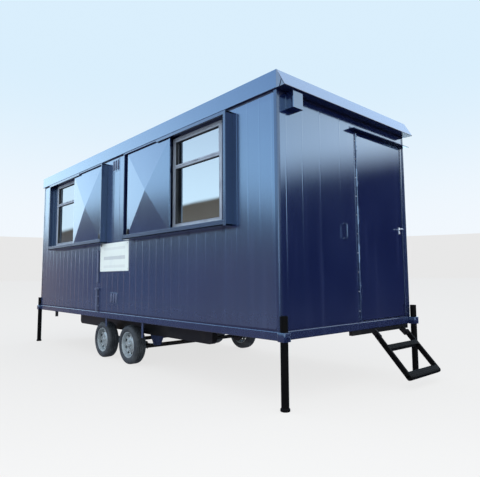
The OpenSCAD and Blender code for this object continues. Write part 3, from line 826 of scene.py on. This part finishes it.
plates, vents = [], []
for x0, x1, z0, z1 in ventLook["places"]:
    x0, x1, z0, z1 = pairX + x0, pairX + x1, railZ + z0, railZ + z1
    plates.append(box(at(x0, -wallY - 0.006, z0), at(x1, -wallY, z1), 0.0028, along=0))
    pitch = (x1 - x0) / ventLook["slots"]
    for i in range(ventLook["slots"]):
        vents.append(louvre(x0 + (i + 0.5) * pitch, z0 + 0.012, z1 - 0.012, ventLook["strip"], -wallY - 0.005))
piece("ventPlates", plates, "cabin", navyPaint, ("wall_vents",))
piece("ventLouvres", vents, "cabin", pipeGrey)

# sign board and its four screws
signLook = dict(proud=0.006, corner=0.012, screwIn=0.025)
low, high = centred("sign_plate")
middle, size, signY = (low + high) / 2, high - low, -wallY - signLook["proud"]
sign = bar(at(middle[0], signY, middle[2]), at(middle[0], -wallY, middle[2]),
           roundRect(size[0], size[2], signLook["corner"], 5), (1, 0, 0), 0.0008)
piece("signBoard", [sign], "cabin", signWhite, ("sign_plate",))
dome = [(0, 0.004), (0.003, 0.0035), (0.0055, 0.0015), (0.006, 0), (0, 0)]
screwIn = signLook["screwIn"]
screws = [lathe(dome, at(x, signY, z), (0, -1, 0), 12)
          for x in (low[0] + screwIn, high[0] - screwIn) for z in (low[2] + screwIn, high[2] - screwIn)]
piece("signScrews", screws, "cabin", zinc)

# service pipe: cover strip, saddle, tube with its collar and two clips
pipeLook = dict(side=-0.575, out=0.024, clips=(0.16, 0.30))
pipeX = pairX + pipeLook["side"]
pipeFoot = at(pipeX, -wallY - pipeLook["out"], railTop - 0.001)
pipeSide = [(0, 0), (0.013, 0), (0.013, 0.318), (0.018, 0.320), (0.018, 0.344), (0, 0.344)]
clip = [(0.012, -0.008), (0.017, -0.008), (0.017, 0.008), (0.012, 0.008)]
pipe = [box(at(pipeX - 0.016, -wallY - 0.022, railZ + 0.500), at(pipeX + 0.016, -wallY, railZ + 0.960), 0.006),
        box(at(pipeX - 0.024, -wallY - 0.042, railZ + 0.395), at(pipeX + 0.024, -wallY, railZ + 0.425),
            0.005, along=0),
        lathe(pipeSide, pipeFoot, (0, 0, 1), 24)]
for z in (railZ + up for up in pipeLook["clips"]):
    pipe.append(lathe(clip, (pipeFoot[0], pipeFoot[1], z), (0, 0, 1), 24, closed=True))
    pipe.append(box(at(pipeX - 0.030, -wallY - 0.008, z - 0.008), at(pipeX + 0.030, -wallY, z + 0.008), 0.002))
piece("servicePipe", pipe, "cabin", pipeGrey, ("service_pipe",))

low, high = centred("waste_pipe")
hollow = [(0.021, 0), (0.025, 0.001), (0.025, 0.085), (0.030, 0.087), (0.030, 0.125), (0.025, 0.127),
          (0.025, 0.150), (0, 0.150), (0, 0.03), (0.021, 0.03)]
wasteFoot = at(*(low[:2] + high[:2]) / 2, low[2])
waste = lathe(hollow, wasteFoot, (0, 0, 1), 28, closed=True)
piece("wastePipe", [waste], "cabin", chassisBlack, ("waste_pipe",))

# inlet box with its back flange
low, high = centred("inlet_box")
flangeLow, flangeHigh = (low[0], low[1] - 0.004, low[2] + 0.010), (low[0] + 0.006, high[1] + 0.004, high[2] - 0.002)
inlet = [box(at(*low), at(*high), 0.004, along=2), box(at(*flangeLow), at(*flangeHigh), 0.002, along=2)]
piece("inletBox", inlet, "cabin", endPaint, ("inlet_box",))

# drip rail: outline of (out, z) of a strip with a turned-down lip
low, high = centred("drip_rail")
dripWide = 0.0695
drip = np.array([[0, 0], [0.066, -0.004], [0.0665, -0.008], [0.069, -0.008], [dripWide, 0.000],
                 [0.066, 0.003], [0.006, 0.0055], [0.0045, 0.008], [0.0045, 0.028], [0, 0.028]])
drip = drip * [(high[0] - low[0]) / dripWide, 1] + [wallX, low[2]]
rail = easedPrism(drip, low[1], high[1], 0.001, 0.0008)
piece("dripRail", [rail], "cabin", trimPaint, ("drip_rail",))

# holdback handle: round bar with two quarter bends on round feet
holdLook = dict(y=-0.150, bend=0.018, radius=0.0068, footIn=0.008)
low, high = centred("door_holdback")
a = np.linspace(0, np.pi / 2, 7)
r, out = holdLook["bend"], high[0] - 0.007
zl, zh = low[2] + holdLook["footIn"], high[2] - holdLook["footIn"]
path = np.concatenate([[[wallX, 0, zl]], np.stack([out - r + r * np.sin(a), 0 * a, zl + r - r * np.cos(a)], -1),
                       np.stack([out - r + r * np.cos(a), 0 * a, zh - r + r * np.sin(a)], -1), [[wallX, 0, zh]]])
footSide = [(0, 0.004), (0.014, 0.004), (0.016, 0.002), (0.016, 0), (0, 0)]
grab = [tube(at(0, holdLook["y"], 0) + path, holdLook["radius"], 14, (0, 1, 0))]
grab += [lathe(footSide, at(wallX, holdLook["y"], z), (1, 0, 0), 20) for z in (zl, zh)]
piece("doorHoldback", grab, "cabin", trimPaint, ("door_holdback",))
print("small fittings made")

# door, with its long hinge
doorLook = dict(thick=0.045, edge=0.004, knuckles=10, knuckleGap=0.0015, screwY=0.124, postY=0.077, studY=0.086)
leafY0, leafY1 = doorway[0] + doorGap, doorway[1] - doorGap
leafZ0, leafZ1 = doorway[2] + doorGap, doorway[3] - doorGap
hingeX, hingeY = at(wallX + 0.0075, doorway[0], 0)[:2]
pitch = (leafZ1 - leafZ0) / doorLook["knuckles"]


def knuckleShells(first, y0, y1):
    # hinge knuckles with eased ends and their leaves from y0 to y1, every second one
    shells = []
    h = pitch - doorLook["knuckleGap"]
    ease = [(0, 0), (0.0058, 0), (0.007, 0.0012), (0.007, h - 0.0012), (0.0058, h), (0, h)]
    for i in range(first, doorLook["knuckles"], 2):
        z = leafZ0 + i * pitch
        shells.append(lathe(ease, (hingeX, hingeY, z), (0, 0, 1), 20))
        shells.append(box(at(wallX - 0.0005, y0, z), at(wallX + 0.0035, y1, z + h), 0.0015))
    return shells


def heads(profile, out, y, levels, steps):
    # screw or stud heads in a column on the hinge
    return [lathe(profile, at(wallX + out, y, z), (1, 0, 0), steps) for z in levels]


slab = box(at(wallX - doorLook["thick"], leafY0, leafZ0), at(wallX, leafY1, leafZ1),
           doorLook["edge"], along=2, steps=3)
piece("doorPanel", [slab] + knuckleShells(1, 0.1, 0.138), "door", doorPaint, ("door_leaf",))
piece("hingeKnuckles", knuckleShells(0, 0.062, 0.1), "cabin", trimPaint, ("hinge_barrels",))
screwDome = [(0, 0.0032), (0.0035, 0.0030), (0.0065, 0.0012), (0.0072, 0), (0, 0)]
studDome = [(0, 0.0046), (0.004, 0.0040), (0.0068, 0.0018), (0.0074, 0), (0, 0)]
places = [leafZ0 + (i + f) * pitch for i in range(doorLook["knuckles"]) for f in (0.22, 0.78)]
studAt = [leafZ0 + (i + 0.5) * pitch for i in range(doorLook["knuckles"])]
doorScrews = heads(screwDome, 0.0033, doorLook["screwY"], places[2::4] + places[3::4], 10)
postScrews = heads(screwDome, 0.0033, doorLook["postY"], places[0::4] + places[1::4], 10)
piece("doorScrews", doorScrews, "door", doorPaint)
piece("postScrews", postScrews, "cabin", doorPaint)
piece("hingeStuds", heads(studDome, 0.0038, doorLook["studY"], studAt, 12), "cabin", zinc)

# jamb strip round the doorway, its inner edge flush with the opening
jamb = rolledOutline(0.034, 0.0040, -0.030, 0.002) * [-1, -1]
jambShell = frameLoop((midY + doorway[0], doorway[2]), (midY + doorway[1], doorway[3]), midX + wallX, jamb, 0)
piece("doorJamb", [jambShell], "cabin", trimPaint)

# lock plate with the lever's rose and the key's barrel, and the lever
lockLook = dict(y=0.978, up=1.118, plateOut=0.006, leverOut=0.044, bend=0.014, radius=0.0078)
low, high = centred("lock_plate")
middle, size = (low + high) / 2, high - low
lockY, lockZ = lockLook["y"], railZ + lockLook["up"]
rose = [(0.0085, 0), (0.015, 0), (0.015, 0.010), (0.0125, 0.012), (0.0085, 0.012)]
barrel = [(0, 0.009), (0.007, 0.009), (0.0085, 0.0075), (0.0085, 0), (0, 0)]
plate = [bar(at(wallX, middle[1], middle[2]), at(wallX + lockLook["plateOut"], middle[1], middle[2]),
             roundRect(size[1], size[2], 0.008, 4), (0, 1, 0), 0.0015),
         lathe(rose, at(wallX, lockY, lockZ), (1, 0, 0), 28, closed=True),
         lathe(barrel, at(wallX, lockY, lockZ - 0.045), (1, 0, 0), 20)]
piece("lockPlate", plate, "door", chrome, ("lock_plate",))

a = np.linspace(0, np.pi / 2, 7)
r, leverOut = lockLook["bend"], wallX + lockLook["leverOut"]
path = np.concatenate([[[wallX + 0.0005, lockY, 0]],
                       np.stack([leverOut - r + r * np.sin(a), lockY - r + r * np.cos(a), 0 * a], -1),
                       [[leverOut, lockY - 0.030, 0], [leverOut, lockY - 0.044, 0]]])
knob = [(0, 0.006), (0.0062, 0.004), (0.0088, 0), (0.0088, -0.016), (0.0070, -0.018), (0, -0.018)]
lever = [tube(at(0, 0, lockZ) + path, lockLook["radius"], 16, (0, 0, 1)),
         lathe(knob, at(leverOut, lockY - 0.043, lockZ), (0, -1, 0), 20)]
piece("doorLever", lever, "door_lever", chrome, ("door_lever",))
print("door made")

# legs and their sockets
legLook = dict(radius=0.035, wall=0.005, height=0.800, foot=0.043, footThick=0.025, open=0.14)
socketLook = dict(out=0.040, inset=0.010, wall=0.009, corner=0.010, play=0.001, web=0.030)


def legShells(node, look):
    # steel tube open at its top, welded on a round foot with an eased edge
    low, high = corners(node)
    x, y = (low[:2] + high[:2]) / 2
    r, w, h, f, t = (look[k] for k in ("radius", "wall", "height", "foot", "footThick"))
    side = [(0, 0), (f - 0.003, 0), (f, 0.003), (f, t - 0.004), (f - 0.004, t), (r + 0.004, t), (r, t + 0.005),
            (r, h - 0.0015), (r - 0.0015, h), (r - w, h), (r - w, h - look["open"]), (0, h - look["open"])]
    return [lathe(side, (x, y, 0), (0, 0, 1), 40)]


def handed(words):
    # near_door as NearDoor
    return "".join(word.title() for word in words.split("_"))


for corner in ("near_door", "off_door", "near_far", "off_far"):
    leg = "leg_" + corner
    piece("leg" + handed(corner), legShells(leg, legLook), leg, legBlack, (leg,))


def socketShells(ex, sy, look):
    # square collar bored for the leg, with a clamp boss, screw and tommy bar
    x, y = ex * (halfL + look["out"]), sy * (halfW - look["inset"])
    half = legLook["radius"] + look["wall"]
    outline = roundRect(2 * half, 2 * half, look["corner"], 4)
    small = outline - np.sign(outline) * 0.001
    angles = np.arctan2(outline[:, 1], outline[:, 0])
    bore = np.stack([np.cos(angles), np.sin(angles)], -1) * (legLook["radius"] + look["play"])
    z0, z1, zm = railZ, railTop, (railZ + railTop) / 2
    loops = [(bore, z0), (small, z0), (outline, z0 + 0.002), (outline, z1 - 0.002), (small, z1), (bore, z1)]
    parts = [shell(np.stack([levelRing(ring, x, y, z) for ring, z in loops]), loopRows=True, loopColumns=True)]
    if sy > 0:
        boss = [(0.008, 0), (0.016, 0), (0.016, 0.012), (0.014, 0.014), (0.008, 0.014)]
        screw = [(0, -0.002), (0.008, -0.002), (0.008, 0.028), (0.0065, 0.028), (0, 0.028)]
        tommy = [(0, 0), (0.006, 0.001), (0.006, 0.089), (0, 0.090)]
        parts += [lathe(boss, at(x, y + half, zm), (0, 1, 0), 6, closed=True),
                  lathe(screw, at(x, y + half, zm), (0, 1, 0), 20),
                  lathe(tommy, at(x, y + 0.062, zm - 0.045), (0, 0, 1), 16)]
    else:
        nut = [(0, 0), (0.012, 0), (0.012, 0.020), (0.010, 0.022), (0, 0.022)]
        screwEnd = [(0, 0.020), (0.005, 0.020), (0.005, 0.030), (0, 0.031)]
        parts += [lathe(nut, at(x + ex * (half - 0.001), y, zm), (ex, 0, 0), 6),
                  lathe(screwEnd, at(x + ex * half, y, zm), (ex, 0, 0), 12)]
    # web plate tying the collar to the base frame
    x0, x1 = sorted((ex * (halfL - 0.002), ex * (halfL + 0.010)))
    parts.append(box(at(x0, y - look["web"], z0 + 0.004), at(x1, y + look["web"], z1 - 0.004), 0.002))
    return parts


sockets = [s for ex in (1, -1) for sy in (-1, 1) for s in socketShells(ex, sy, socketLook)]
piece("legSockets", sockets, "cabin", trimPaint, ("leg_sockets",))
print("legs made")

# wheels
tyreLook = dict(treadSteps=144, groove=0.0035, rimRadius=0.166)


def tyreShell(x, y, z, radius, width, look):
    # section of (radius, across) turned round the axle; at the tread the radius drops at
    # three rings and, on the shoulders, at every second angle step, which cuts the blocks
    h = width / 2
    r0, top = look["rimRadius"], radius
    across = [-h * f for f in (0.72, 0.80, 0.93, 0.985, 1, 0.985, 0.96, 0.90, 0.80, 0.66)]
    radii = [r0 + up for up in (0, 0.004, 0.010, 0.022, 0.042, 0.058, 0.066)]
    radii += [top - 0.014, top - 0.0065, top - 0.0015]
    tread = np.array([-0.44, -0.42, -0.36, -0.34, -0.05, -0.03, 0.03, 0.05, 0.34, 0.36, 0.42, 0.44]) * h
    drop = np.array([0, 1, 1, 0] * 3) * look["groove"] * 1.6
    wall = list(zip(radii, across))
    section = np.array(wall + [(top - d, a) for a, d in zip(tread, drop)] + [(r, -a) for r, a in wall[::-1]]
                       + [(r0 - 0.002, h * 0.70), (r0 - 0.002, -h * 0.70)])
    angle = np.linspace(0, 2 * np.pi, look["treadSteps"], endpoint=False)
    block = ((np.arange(look["treadSteps"]) // 2) % 2) * look["groove"]
    shoulder = np.exp(-((np.abs(section[:, 1]) / h - 0.74) / 0.13) ** 2) * (section[:, 0] > top - 0.02)
    rr = section[:, 0, None] - shoulder[:, None] * block
    yy = np.broadcast_to(section[:, 1, None], rr.shape)
    points = np.stack([x + rr * np.sin(angle), y + yy, z + rr * np.cos(angle)], -1)
    return shell(points, loopRows=True, loopColumns=True)


rimLook = dict(radius=0.166, halfWide=0.0655, holes=8, discSteps=96, plate=0.005, nuts=5, nutRing=0.046)


def rimShells(x, y, z, sy, look):
    # barrel with rolled lips, a dished disc with a ring of hand holes, hub cap and five nuts
    h, rr = look["halfWide"], look["radius"]
    barrel = [(rr + dr, across) for dr, across in (
        (0.004, h + 0.001), (0.0045, h - 0.002), (-0.004, h - 0.006), (-0.008, h - 0.016), (-0.012, h - 0.030),
        (-0.018, 0.012), (-0.018, -0.030), (-0.008, -h + 0.012), (0.0045, -h + 0.002), (0.004, -h - 0.001),
        (-0.003, -h - 0.001), (-0.012, -h + 0.012), (-0.022, -0.030), (-0.022, 0.012), (-0.016, h - 0.030),
        (-0.012, h - 0.014), (-0.006, h - 0.001))]
    parts = [lathe(barrel, (x, y, z), (0, sy, 0), 96, closed=True)]
    # disc: depth rises in a soft ring round the hub, with the hole quads left out
    rad = np.array([0.058, 0.070, 0.084, 0.096, 0.106, 0.118, 0.130, 0.140, rr - 0.0185])
    out = np.array([0.038, 0.040, 0.034, 0.026, 0.024, 0.026, 0.030, 0.026, 0.010])
    n = look["discSteps"]
    a = np.linspace(0, 2 * np.pi, n, endpoint=False)
    ring = np.abs((a * look["holes"] / (2 * np.pi)) % 1 - 0.5) < 0.24
    faces = gridFaces(len(rad), n, loopColumns=True)
    row, col = faces[:, 0] // n, faces[:, 0] % n
    faces = faces[~((row >= 4) & (row <= 5) & ring[col])]
    for depth in (0.0, -look["plate"]):
        yy = np.broadcast_to(y + sy * (out + depth)[:, None], (len(rad), n))
        points = np.stack([x + rad[:, None] * np.sin(a), yy, z + rad[:, None] * np.cos(a)], -1)
        parts.append((points.reshape(-1, 3), faces if depth else faces[:, ::-1], []))
    hub = [(0.0, 0.052), (0.022, 0.051), (0.028, 0.047), (0.030, 0.040), (0.060, 0.039), (0.0605, -0.020),
           (0.0, -0.020)]
    parts.append(lathe(hub, (x, y, z), (0, sy, 0), 48))
    nut = [(0, 0.016), (0.007, 0.016), (0.0095, 0.012), (0.0095, 0.003), (0.012, 0.0), (0, 0)]
    for k in range(look["nuts"]):
        t = 2 * np.pi * k / look["nuts"] + 0.3
        place = (x + look["nutRing"] * math.sin(t), y + sy * 0.039, z + look["nutRing"] * math.cos(t))
        parts.append(lathe(nut, place, (0, sy, 0), 6))
    return parts


for corner in ("near_front", "near_rear", "off_front", "off_rear"):
    low, high = corners("tyre_" + corner)
    x, y, z = (low + high) / 2
    sy = -1 if "near" in corner else 1
    tyre = tyreShell(x, y, z, (high[2] - low[2]) / 2, high[1] - low[1], tyreLook)
    rim = rimShells(x, y, z, sy, rimLook)
    name, body = handed(corner), "wheel_" + corner
    piece("tyre" + name, [tyre], body, rubber, ("tyre_" + corner,), smooth=32)
    piece("rim" + name, rim, body, rimSilver, ("rim_" + corner,))
print("wheels made")

# running gear
gearLook = dict(leaves=5, leafWide=0.044, leafThick=0.006, leafHalf=0.330, rise=0.028,
                axleZ=0.210, springY=0.820)


def leafSpring(x, y, zMid, look):
    # stacked curved leaves: z(s) = zMid + rise * (s/half)^2, each leaf shorter than the last
    parts = []
    for k in range(look["leaves"]):
        full = look["leafHalf"]
        half = full * (1 - 0.17 * k)
        s = np.linspace(-half, half, 17)
        top = zMid + look["rise"] * (s / full) ** 2 - k * (look["leafThick"] + 0.0008)
        outline = roundRect(look["leafWide"], look["leafThick"], 0.0015, 2)
        xx, yy = np.broadcast_arrays((x + s)[:, None], y + outline[:, 0])
        parts.append(shell(np.stack([xx, yy, top[:, None] + outline[:, 1]], -1), loopColumns=True, caps=True))
    return parts


def uBolt(x, y, z, wide, tall):
    # round bar bent over the spring: straight, half circle, straight
    a = np.linspace(0, np.pi, 9)
    arc = np.stack([0 * a + x, y - wide * np.cos(a), z + wide * 0.5 * np.sin(a)], -1)
    path = np.concatenate([[[x, y - wide, z - tall]], arc, [[x, y + wide, z - tall]]])
    return tube(path, 0.006, 10, (1, 0, 0))


gear = []
axleZ = gearLook["axleZ"]
drum = [(0, -0.005), (0.035, -0.005), (0.040, -0.012), (0.112, -0.012), (0.120, -0.016), (0.120, -0.046),
        (0.126, -0.048), (0.126, -0.053), (0.050, -0.055), (0.040, -0.064), (0, -0.064)]
stub = [(0, 0.117), (0.0195, 0.116), (0.0195, -0.02), (0, -0.02)]
for corner in ("front", "rear"):
    low, high = corners("tyre_near_" + corner)
    x, hubZ = (low[0] + high[0]) / 2, (low[2] + high[2]) / 2
    yIn, yOff = high[1], corners("tyre_off_" + corner)[0][1]
    span = yOff - yIn - 0.024
    beam = [(0, 0), (0.024, 0), (0.028, 0.004), (0.028, span - 0.004), (0.024, span), (0, span)]
    gear.append(lathe(beam, (x, yIn + 0.012, axleZ), (0, 1, 0), 28))
    for y, sy in ((yIn, -1), (yOff, 1)):
        ySpring = midY + sy * gearLook["springY"]
        gear += [lathe(drum, (x, y, hubZ), (0, sy, 0), 56), lathe(stub, (x, y, hubZ), (0, sy, 0), 20)]
        gear += leafSpring(x, ySpring, axleZ + 0.046, gearLook)
        for half, z0, z1 in ((0.030, 0.051, 0.062), (0.032, -0.004, 0.024)):       # clamp plates
            gear.append(box((x - 0.05, ySpring - half, axleZ + z0), (x + 0.05, ySpring + half, axleZ + z1), 0.003))
        gear += [uBolt(x + k, ySpring, axleZ + 0.058, 0.026, 0.090) for k in (-0.034, 0.034)]
piece("runningGear", gear, "cabin", chassisBlack, ("running_gear",))
print("running gear made")

# steps
stepLook = dict(
    tilt=48.0,
    barWide=0.030,
    barDeep=0.058,
    length=0.535,
    round=0.008,
    pivot=(0.045, 0.090),               # out from the base frame's end, down from its foot
    sides=(0.332, 0.985),
)


def stepShells(look):
    # two side tubes, an upper tread and a foot tread with raised grip bars, pins at the top
    tilt = math.radians(look["tilt"])
    pivot = np.array([midX + halfL + look["pivot"][0], 0, railZ - look["pivot"][1]])
    along = np.array([math.cos(tilt), 0, -math.sin(tilt)])
    up = np.array([math.sin(tilt), 0, math.cos(tilt)])
    across = np.array([0.0, 1, 0])
    y0, y1 = (midY + y for y in look["sides"])
    d, w, r, length = look["barDeep"], look["barWide"], look["round"], look["length"]
    cap = [(0, -w / 2), (d / 2 - 0.006, -w / 2), (d / 2, 0.006 - w / 2), (d / 2, w / 2 - 0.006),
           (d / 2 - 0.006, w / 2), (0, w / 2)]
    parts = []
    for y in (y0 + w / 2, y1 - w / 2):
        start = pivot + across * y - along * d / 2
        parts.append(bar(start, start + along * length, roundRect(d, w, r, 4), up, 0.004))
        parts.append(lathe(cap, start + along * length, (0, 1, 0), 32))
    for s0, s1, corner in ((0.118, 0.178, r), (length - 0.088, length, 0.024)):
        middle = pivot + along * (s0 + s1) / 2
        parts.append(bar(middle + across * (y0 + w - 0.004), middle + across * (y1 - w + 0.004),
                         roundRect(s1 - s0, d, corner, 6), along, 0.002))
        for k in np.linspace(0.012, s1 - s0 - 0.012, 4):
            rib = pivot + along * (s0 + k) + up * (d / 2)
            parts.append(bar(rib + across * (y0 + w + 0.020), rib + across * (y1 - w - 0.020),
                             roundRect(0.004, 0.004, 0.0012, 2), along, 0.001))
    pin = [(0, 0), (0.0118, 0), (0.0118, 0.046), (0.010, 0.048), (0, 0.048)]
    parts += [lathe(pin, pivot + across * y, (0, sy, 0), 20) for y, sy in ((y0 + 0.004, 1), (y1 - 0.004, -1))]
    return parts


piece("entrySteps", stepShells(stepLook), "steps", legBlack, ("steps",))
print("steps made")

# finishes for the frame's own pieces; the hidden ones are black
kept = {
    wallCore: ("window_wall", "back_wall", "far_end_wall", "wall_beside_door", "wall_over_door",
               "latch_post", "door_sill", "roof"),
    chassisBlack: ("cross_members", "chassis_beams", "step_brackets"),
    navyPaint: ("under_brackets",),
    plyWood: ("floor",),
    paneGlass: ("window_glass",),
}
finishOf = {name: material for material, names in kept.items() for name in names}
for name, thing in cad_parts.items():
    thing.data.materials.clear()
    thing.data.materials.append(finishOf.get(name, chassisBlack))
print("finishes on the frame set")

# floor, sky and camera
stageLook = dict(
    floorColour=(0.110, 0.108, 0.106),
    farGlow=0.66,
    nearGlow=0.46,                      # glow gained, times one over the distance
    backdrop=(0.806, 0.806, 0.806),     # the floor's sweep behind the cabin
    sweepTop=0.0840,
    skyHigh=(0.70, 0.86, 0.98),         # what the camera sees above the sweep
    skyLow=(0.88, 0.935, 0.99),
    fill=(1.40, 1.42, 1.40),            # even light on rough surfaces
    mirrorNear=(1.78, 2.46, 3.00),      # what paint and glass mirror, low in the sky
    mirrorHigh=(0.88, 1.24, 1.80),
    mirrorEnd=(2.50, 2.80, 3.05),       # the whiter sky beyond the door end
    mirrorEndHigh=(1.25, 1.36, 1.46),
    mirrorFar=(1.72, 2.15, 2.45),
    hedgeSlope=-0.281,                  # the hedge's skyline, times y of the direction
    hedgeEnd=0.142,                     # skyline past the end of the hedge, by the door end
    bankHigh=0.238,                     # skyline of the bank beyond the door end at bankFrom
    bankSlope=0.18,
    bankFrom=0.76,
    skyEnd=0.42,                        # the seen sky is skyHigh from here up
    shade=0.30,                         # share of the even light that comes from below
    mirrorDark=(0.020, 0.024, 0.060),
    hedge=(0.240, 0.232, 0.205),
    rearDark=(0.10, 0.12, 0.17),        # trees and gaps behind the cabin
    rearPale=(0.55, 0.62, 0.74),
    yardNear=(0.30, 0.26, 0.33),
    yardMiddle=(0.11, 0.15, 0.28),
    yardFar=(0.62, 0.47, 0.38),
)

cameraLook = dict(
    place=(5.82637, -4.084, 1.130),     # from the middle of the body
    azimuth=48.1517,
    pitch=5.5042,
    roll=-0.3834,
    lens=34.202,
    shift=(-0.0008, -0.0087),
)
floorLook = dict(half=400, soften=6.0)   # half its side; soften is added to the distance squared
s = floorLook["half"]
floorMesh = bpy.data.meshes.new("studioFloor")
floorMesh.from_pydata([(-s, -s, 0), (s, -s, 0), (s, s, 0), (-s, s, 0)], [], [(0, 1, 2, 3)])
floor = bpy.data.objects.new("studioFloor", floorMesh)
bpy.context.scene.collection.objects.link(floor)
# its glow fades with the distance from one fixed point, under the main camera's place;
# alpha clears it from below
f = Finish("floorPale")
glowX, glowY = (float(v) for v in at(*cameraLook["place"])[:2])
far = ((f.x - glowX).power(2.0) + (f.y - glowY).power(2.0) + floorLook["soften"]).power(0.5)
fromBelow = f.node("ShaderNodeNewGeometry", {}, {})[6]
glow = stageLook["farGlow"] + far.power(-1.0) * stageLook["nearGlow"]
floorMesh.materials.append(f.done(
    Base_Color=stageLook["floorColour"], Roughness=1.0, Specular_IOR_Level=0.0, Emission_Strength=1.0,
    Emission_Color=f.mix(glow, (0.0, 0.0, 0.0), (1.0, 1.0, 1.0)), Alpha=1 - fromBelow))
floor.visible_glossy = False
floor.visible_diffuse = False


def makeSky(look):
    # sky by direction: mirrors see a skyline, a long hedge beside the cabin and a bank
    # beyond its end; rough surfaces get even light; the camera sees a pale plain sky
    world = bpy.data.worlds.new("softSky")
    bpy.context.scene.world = world
    world.use_nodes = True
    tree = world.node_tree
    tree.nodes.clear()
    way = addNode(tree, "ShaderNodeTexCoord", {}, {})[0]
    x, y, z = addNode(tree, "ShaderNodeSeparateXYZ", {}, {0: way})

    def mix(factor, first, second):
        return mixColours(tree, factor, first, second)

    gap = 1 - y.step(-0.71, -0.65)
    skyline = look["hedgeSlope"] * y * (1 - gap) + look["hedgeEnd"] * gap
    overHedge = (z - skyline).step(-0.004, 0.006)
    bank = (look["bankHigh"] + look["bankSlope"] * (y - look["bankFrom"])) * y.step(0.54, 0.62)
    overBank = (z - bank).step(-0.042, 0.042)
    facesEnd = x.step(0.02, 0.10)
    bright = overHedge * (1 - facesEnd) + overBank * facesEnd
    up = z.step(0.10, 0.52)
    heaven = mix(up, look["mirrorNear"], look["mirrorHigh"])
    heaven = mix(x.step(-0.90, -0.97), heaven, look["mirrorFar"])
    heaven = mix(facesEnd, heaven, mix(up, look["mirrorEnd"], look["mirrorEndHigh"]))
    yard = mix(x.step(-0.985, -0.92), look["yardFar"], look["yardMiddle"])
    yard = mix(x.step(-0.90, -0.74), yard, look["yardNear"])
    below = mix(z.step(0.02, 0.12), yard, look["hedge"])
    gaps = ((x * 14).sine() * 0.5 + 0.5).power(2.0)
    rear = mix(gaps, look["rearDark"], look["rearPale"])
    rear = mix(z.step(-0.75, -0.05), look["rearDark"], rear)
    below = mix(y.step(0.0, 0.2), below, rear)
    below = mix(facesEnd, below, look["mirrorDark"])
    mirrored = mix(bright, below, heaven)
    seen = mix(z.step(look["sweepTop"], look["skyEnd"]), look["skyLow"], look["skyHigh"])
    seen = mix(z > look["sweepTop"], look["backdrop"], seen)
    fill = mix(z.step(-0.25, 0.2), tuple(look["shade"] * c for c in look["fill"]), look["fill"])
    rays = addNode(tree, "ShaderNodeLightPath", {}, {})
    colour = mix(rays[2], mirrored, fill)
    colour = mix(rays[0], colour, seen)
    background = addNode(tree, "ShaderNodeBackground", {}, {0: colour, 1: 1.0})[0]
    addNode(tree, "ShaderNodeOutputWorld", {}, {0: background})


makeSky(stageLook)

cam = bpy.data.cameras.new("mainCamera")
cam.lens, cam.sensor_width, cam.sensor_fit = cameraLook["lens"], 36.0, "HORIZONTAL"
cam.shift_x, cam.shift_y = cameraLook["shift"]
cam.clip_end = 2000
azimuth, pitchUp, roll = (math.radians(cameraLook[k]) for k in ("azimuth", "pitch", "roll"))
ahead = np.array([-math.sin(azimuth) * math.cos(pitchUp), math.cos(azimuth) * math.cos(pitchUp), math.sin(pitchUp)])
level = np.array([math.cos(azimuth), math.sin(azimuth), 0])
above = np.cross(level, ahead)
right, above = math.cos(roll) * level + math.sin(roll) * above, math.cos(roll) * above - math.sin(roll) * level
eye = bpy.data.objects.new("mainCamera", cam)
bpy.context.scene.collection.objects.link(eye)
turn = Matrix([[*row] for row in np.stack([right, above, -ahead], 1)]).to_4x4()
eye.matrix_world = Matrix.Translation(at(*cameraLook["place"])) @ turn
bpy.context.scene.camera = eye
bpy.context.scene.view_settings.view_transform = "Standard"
print("sky and camera set")
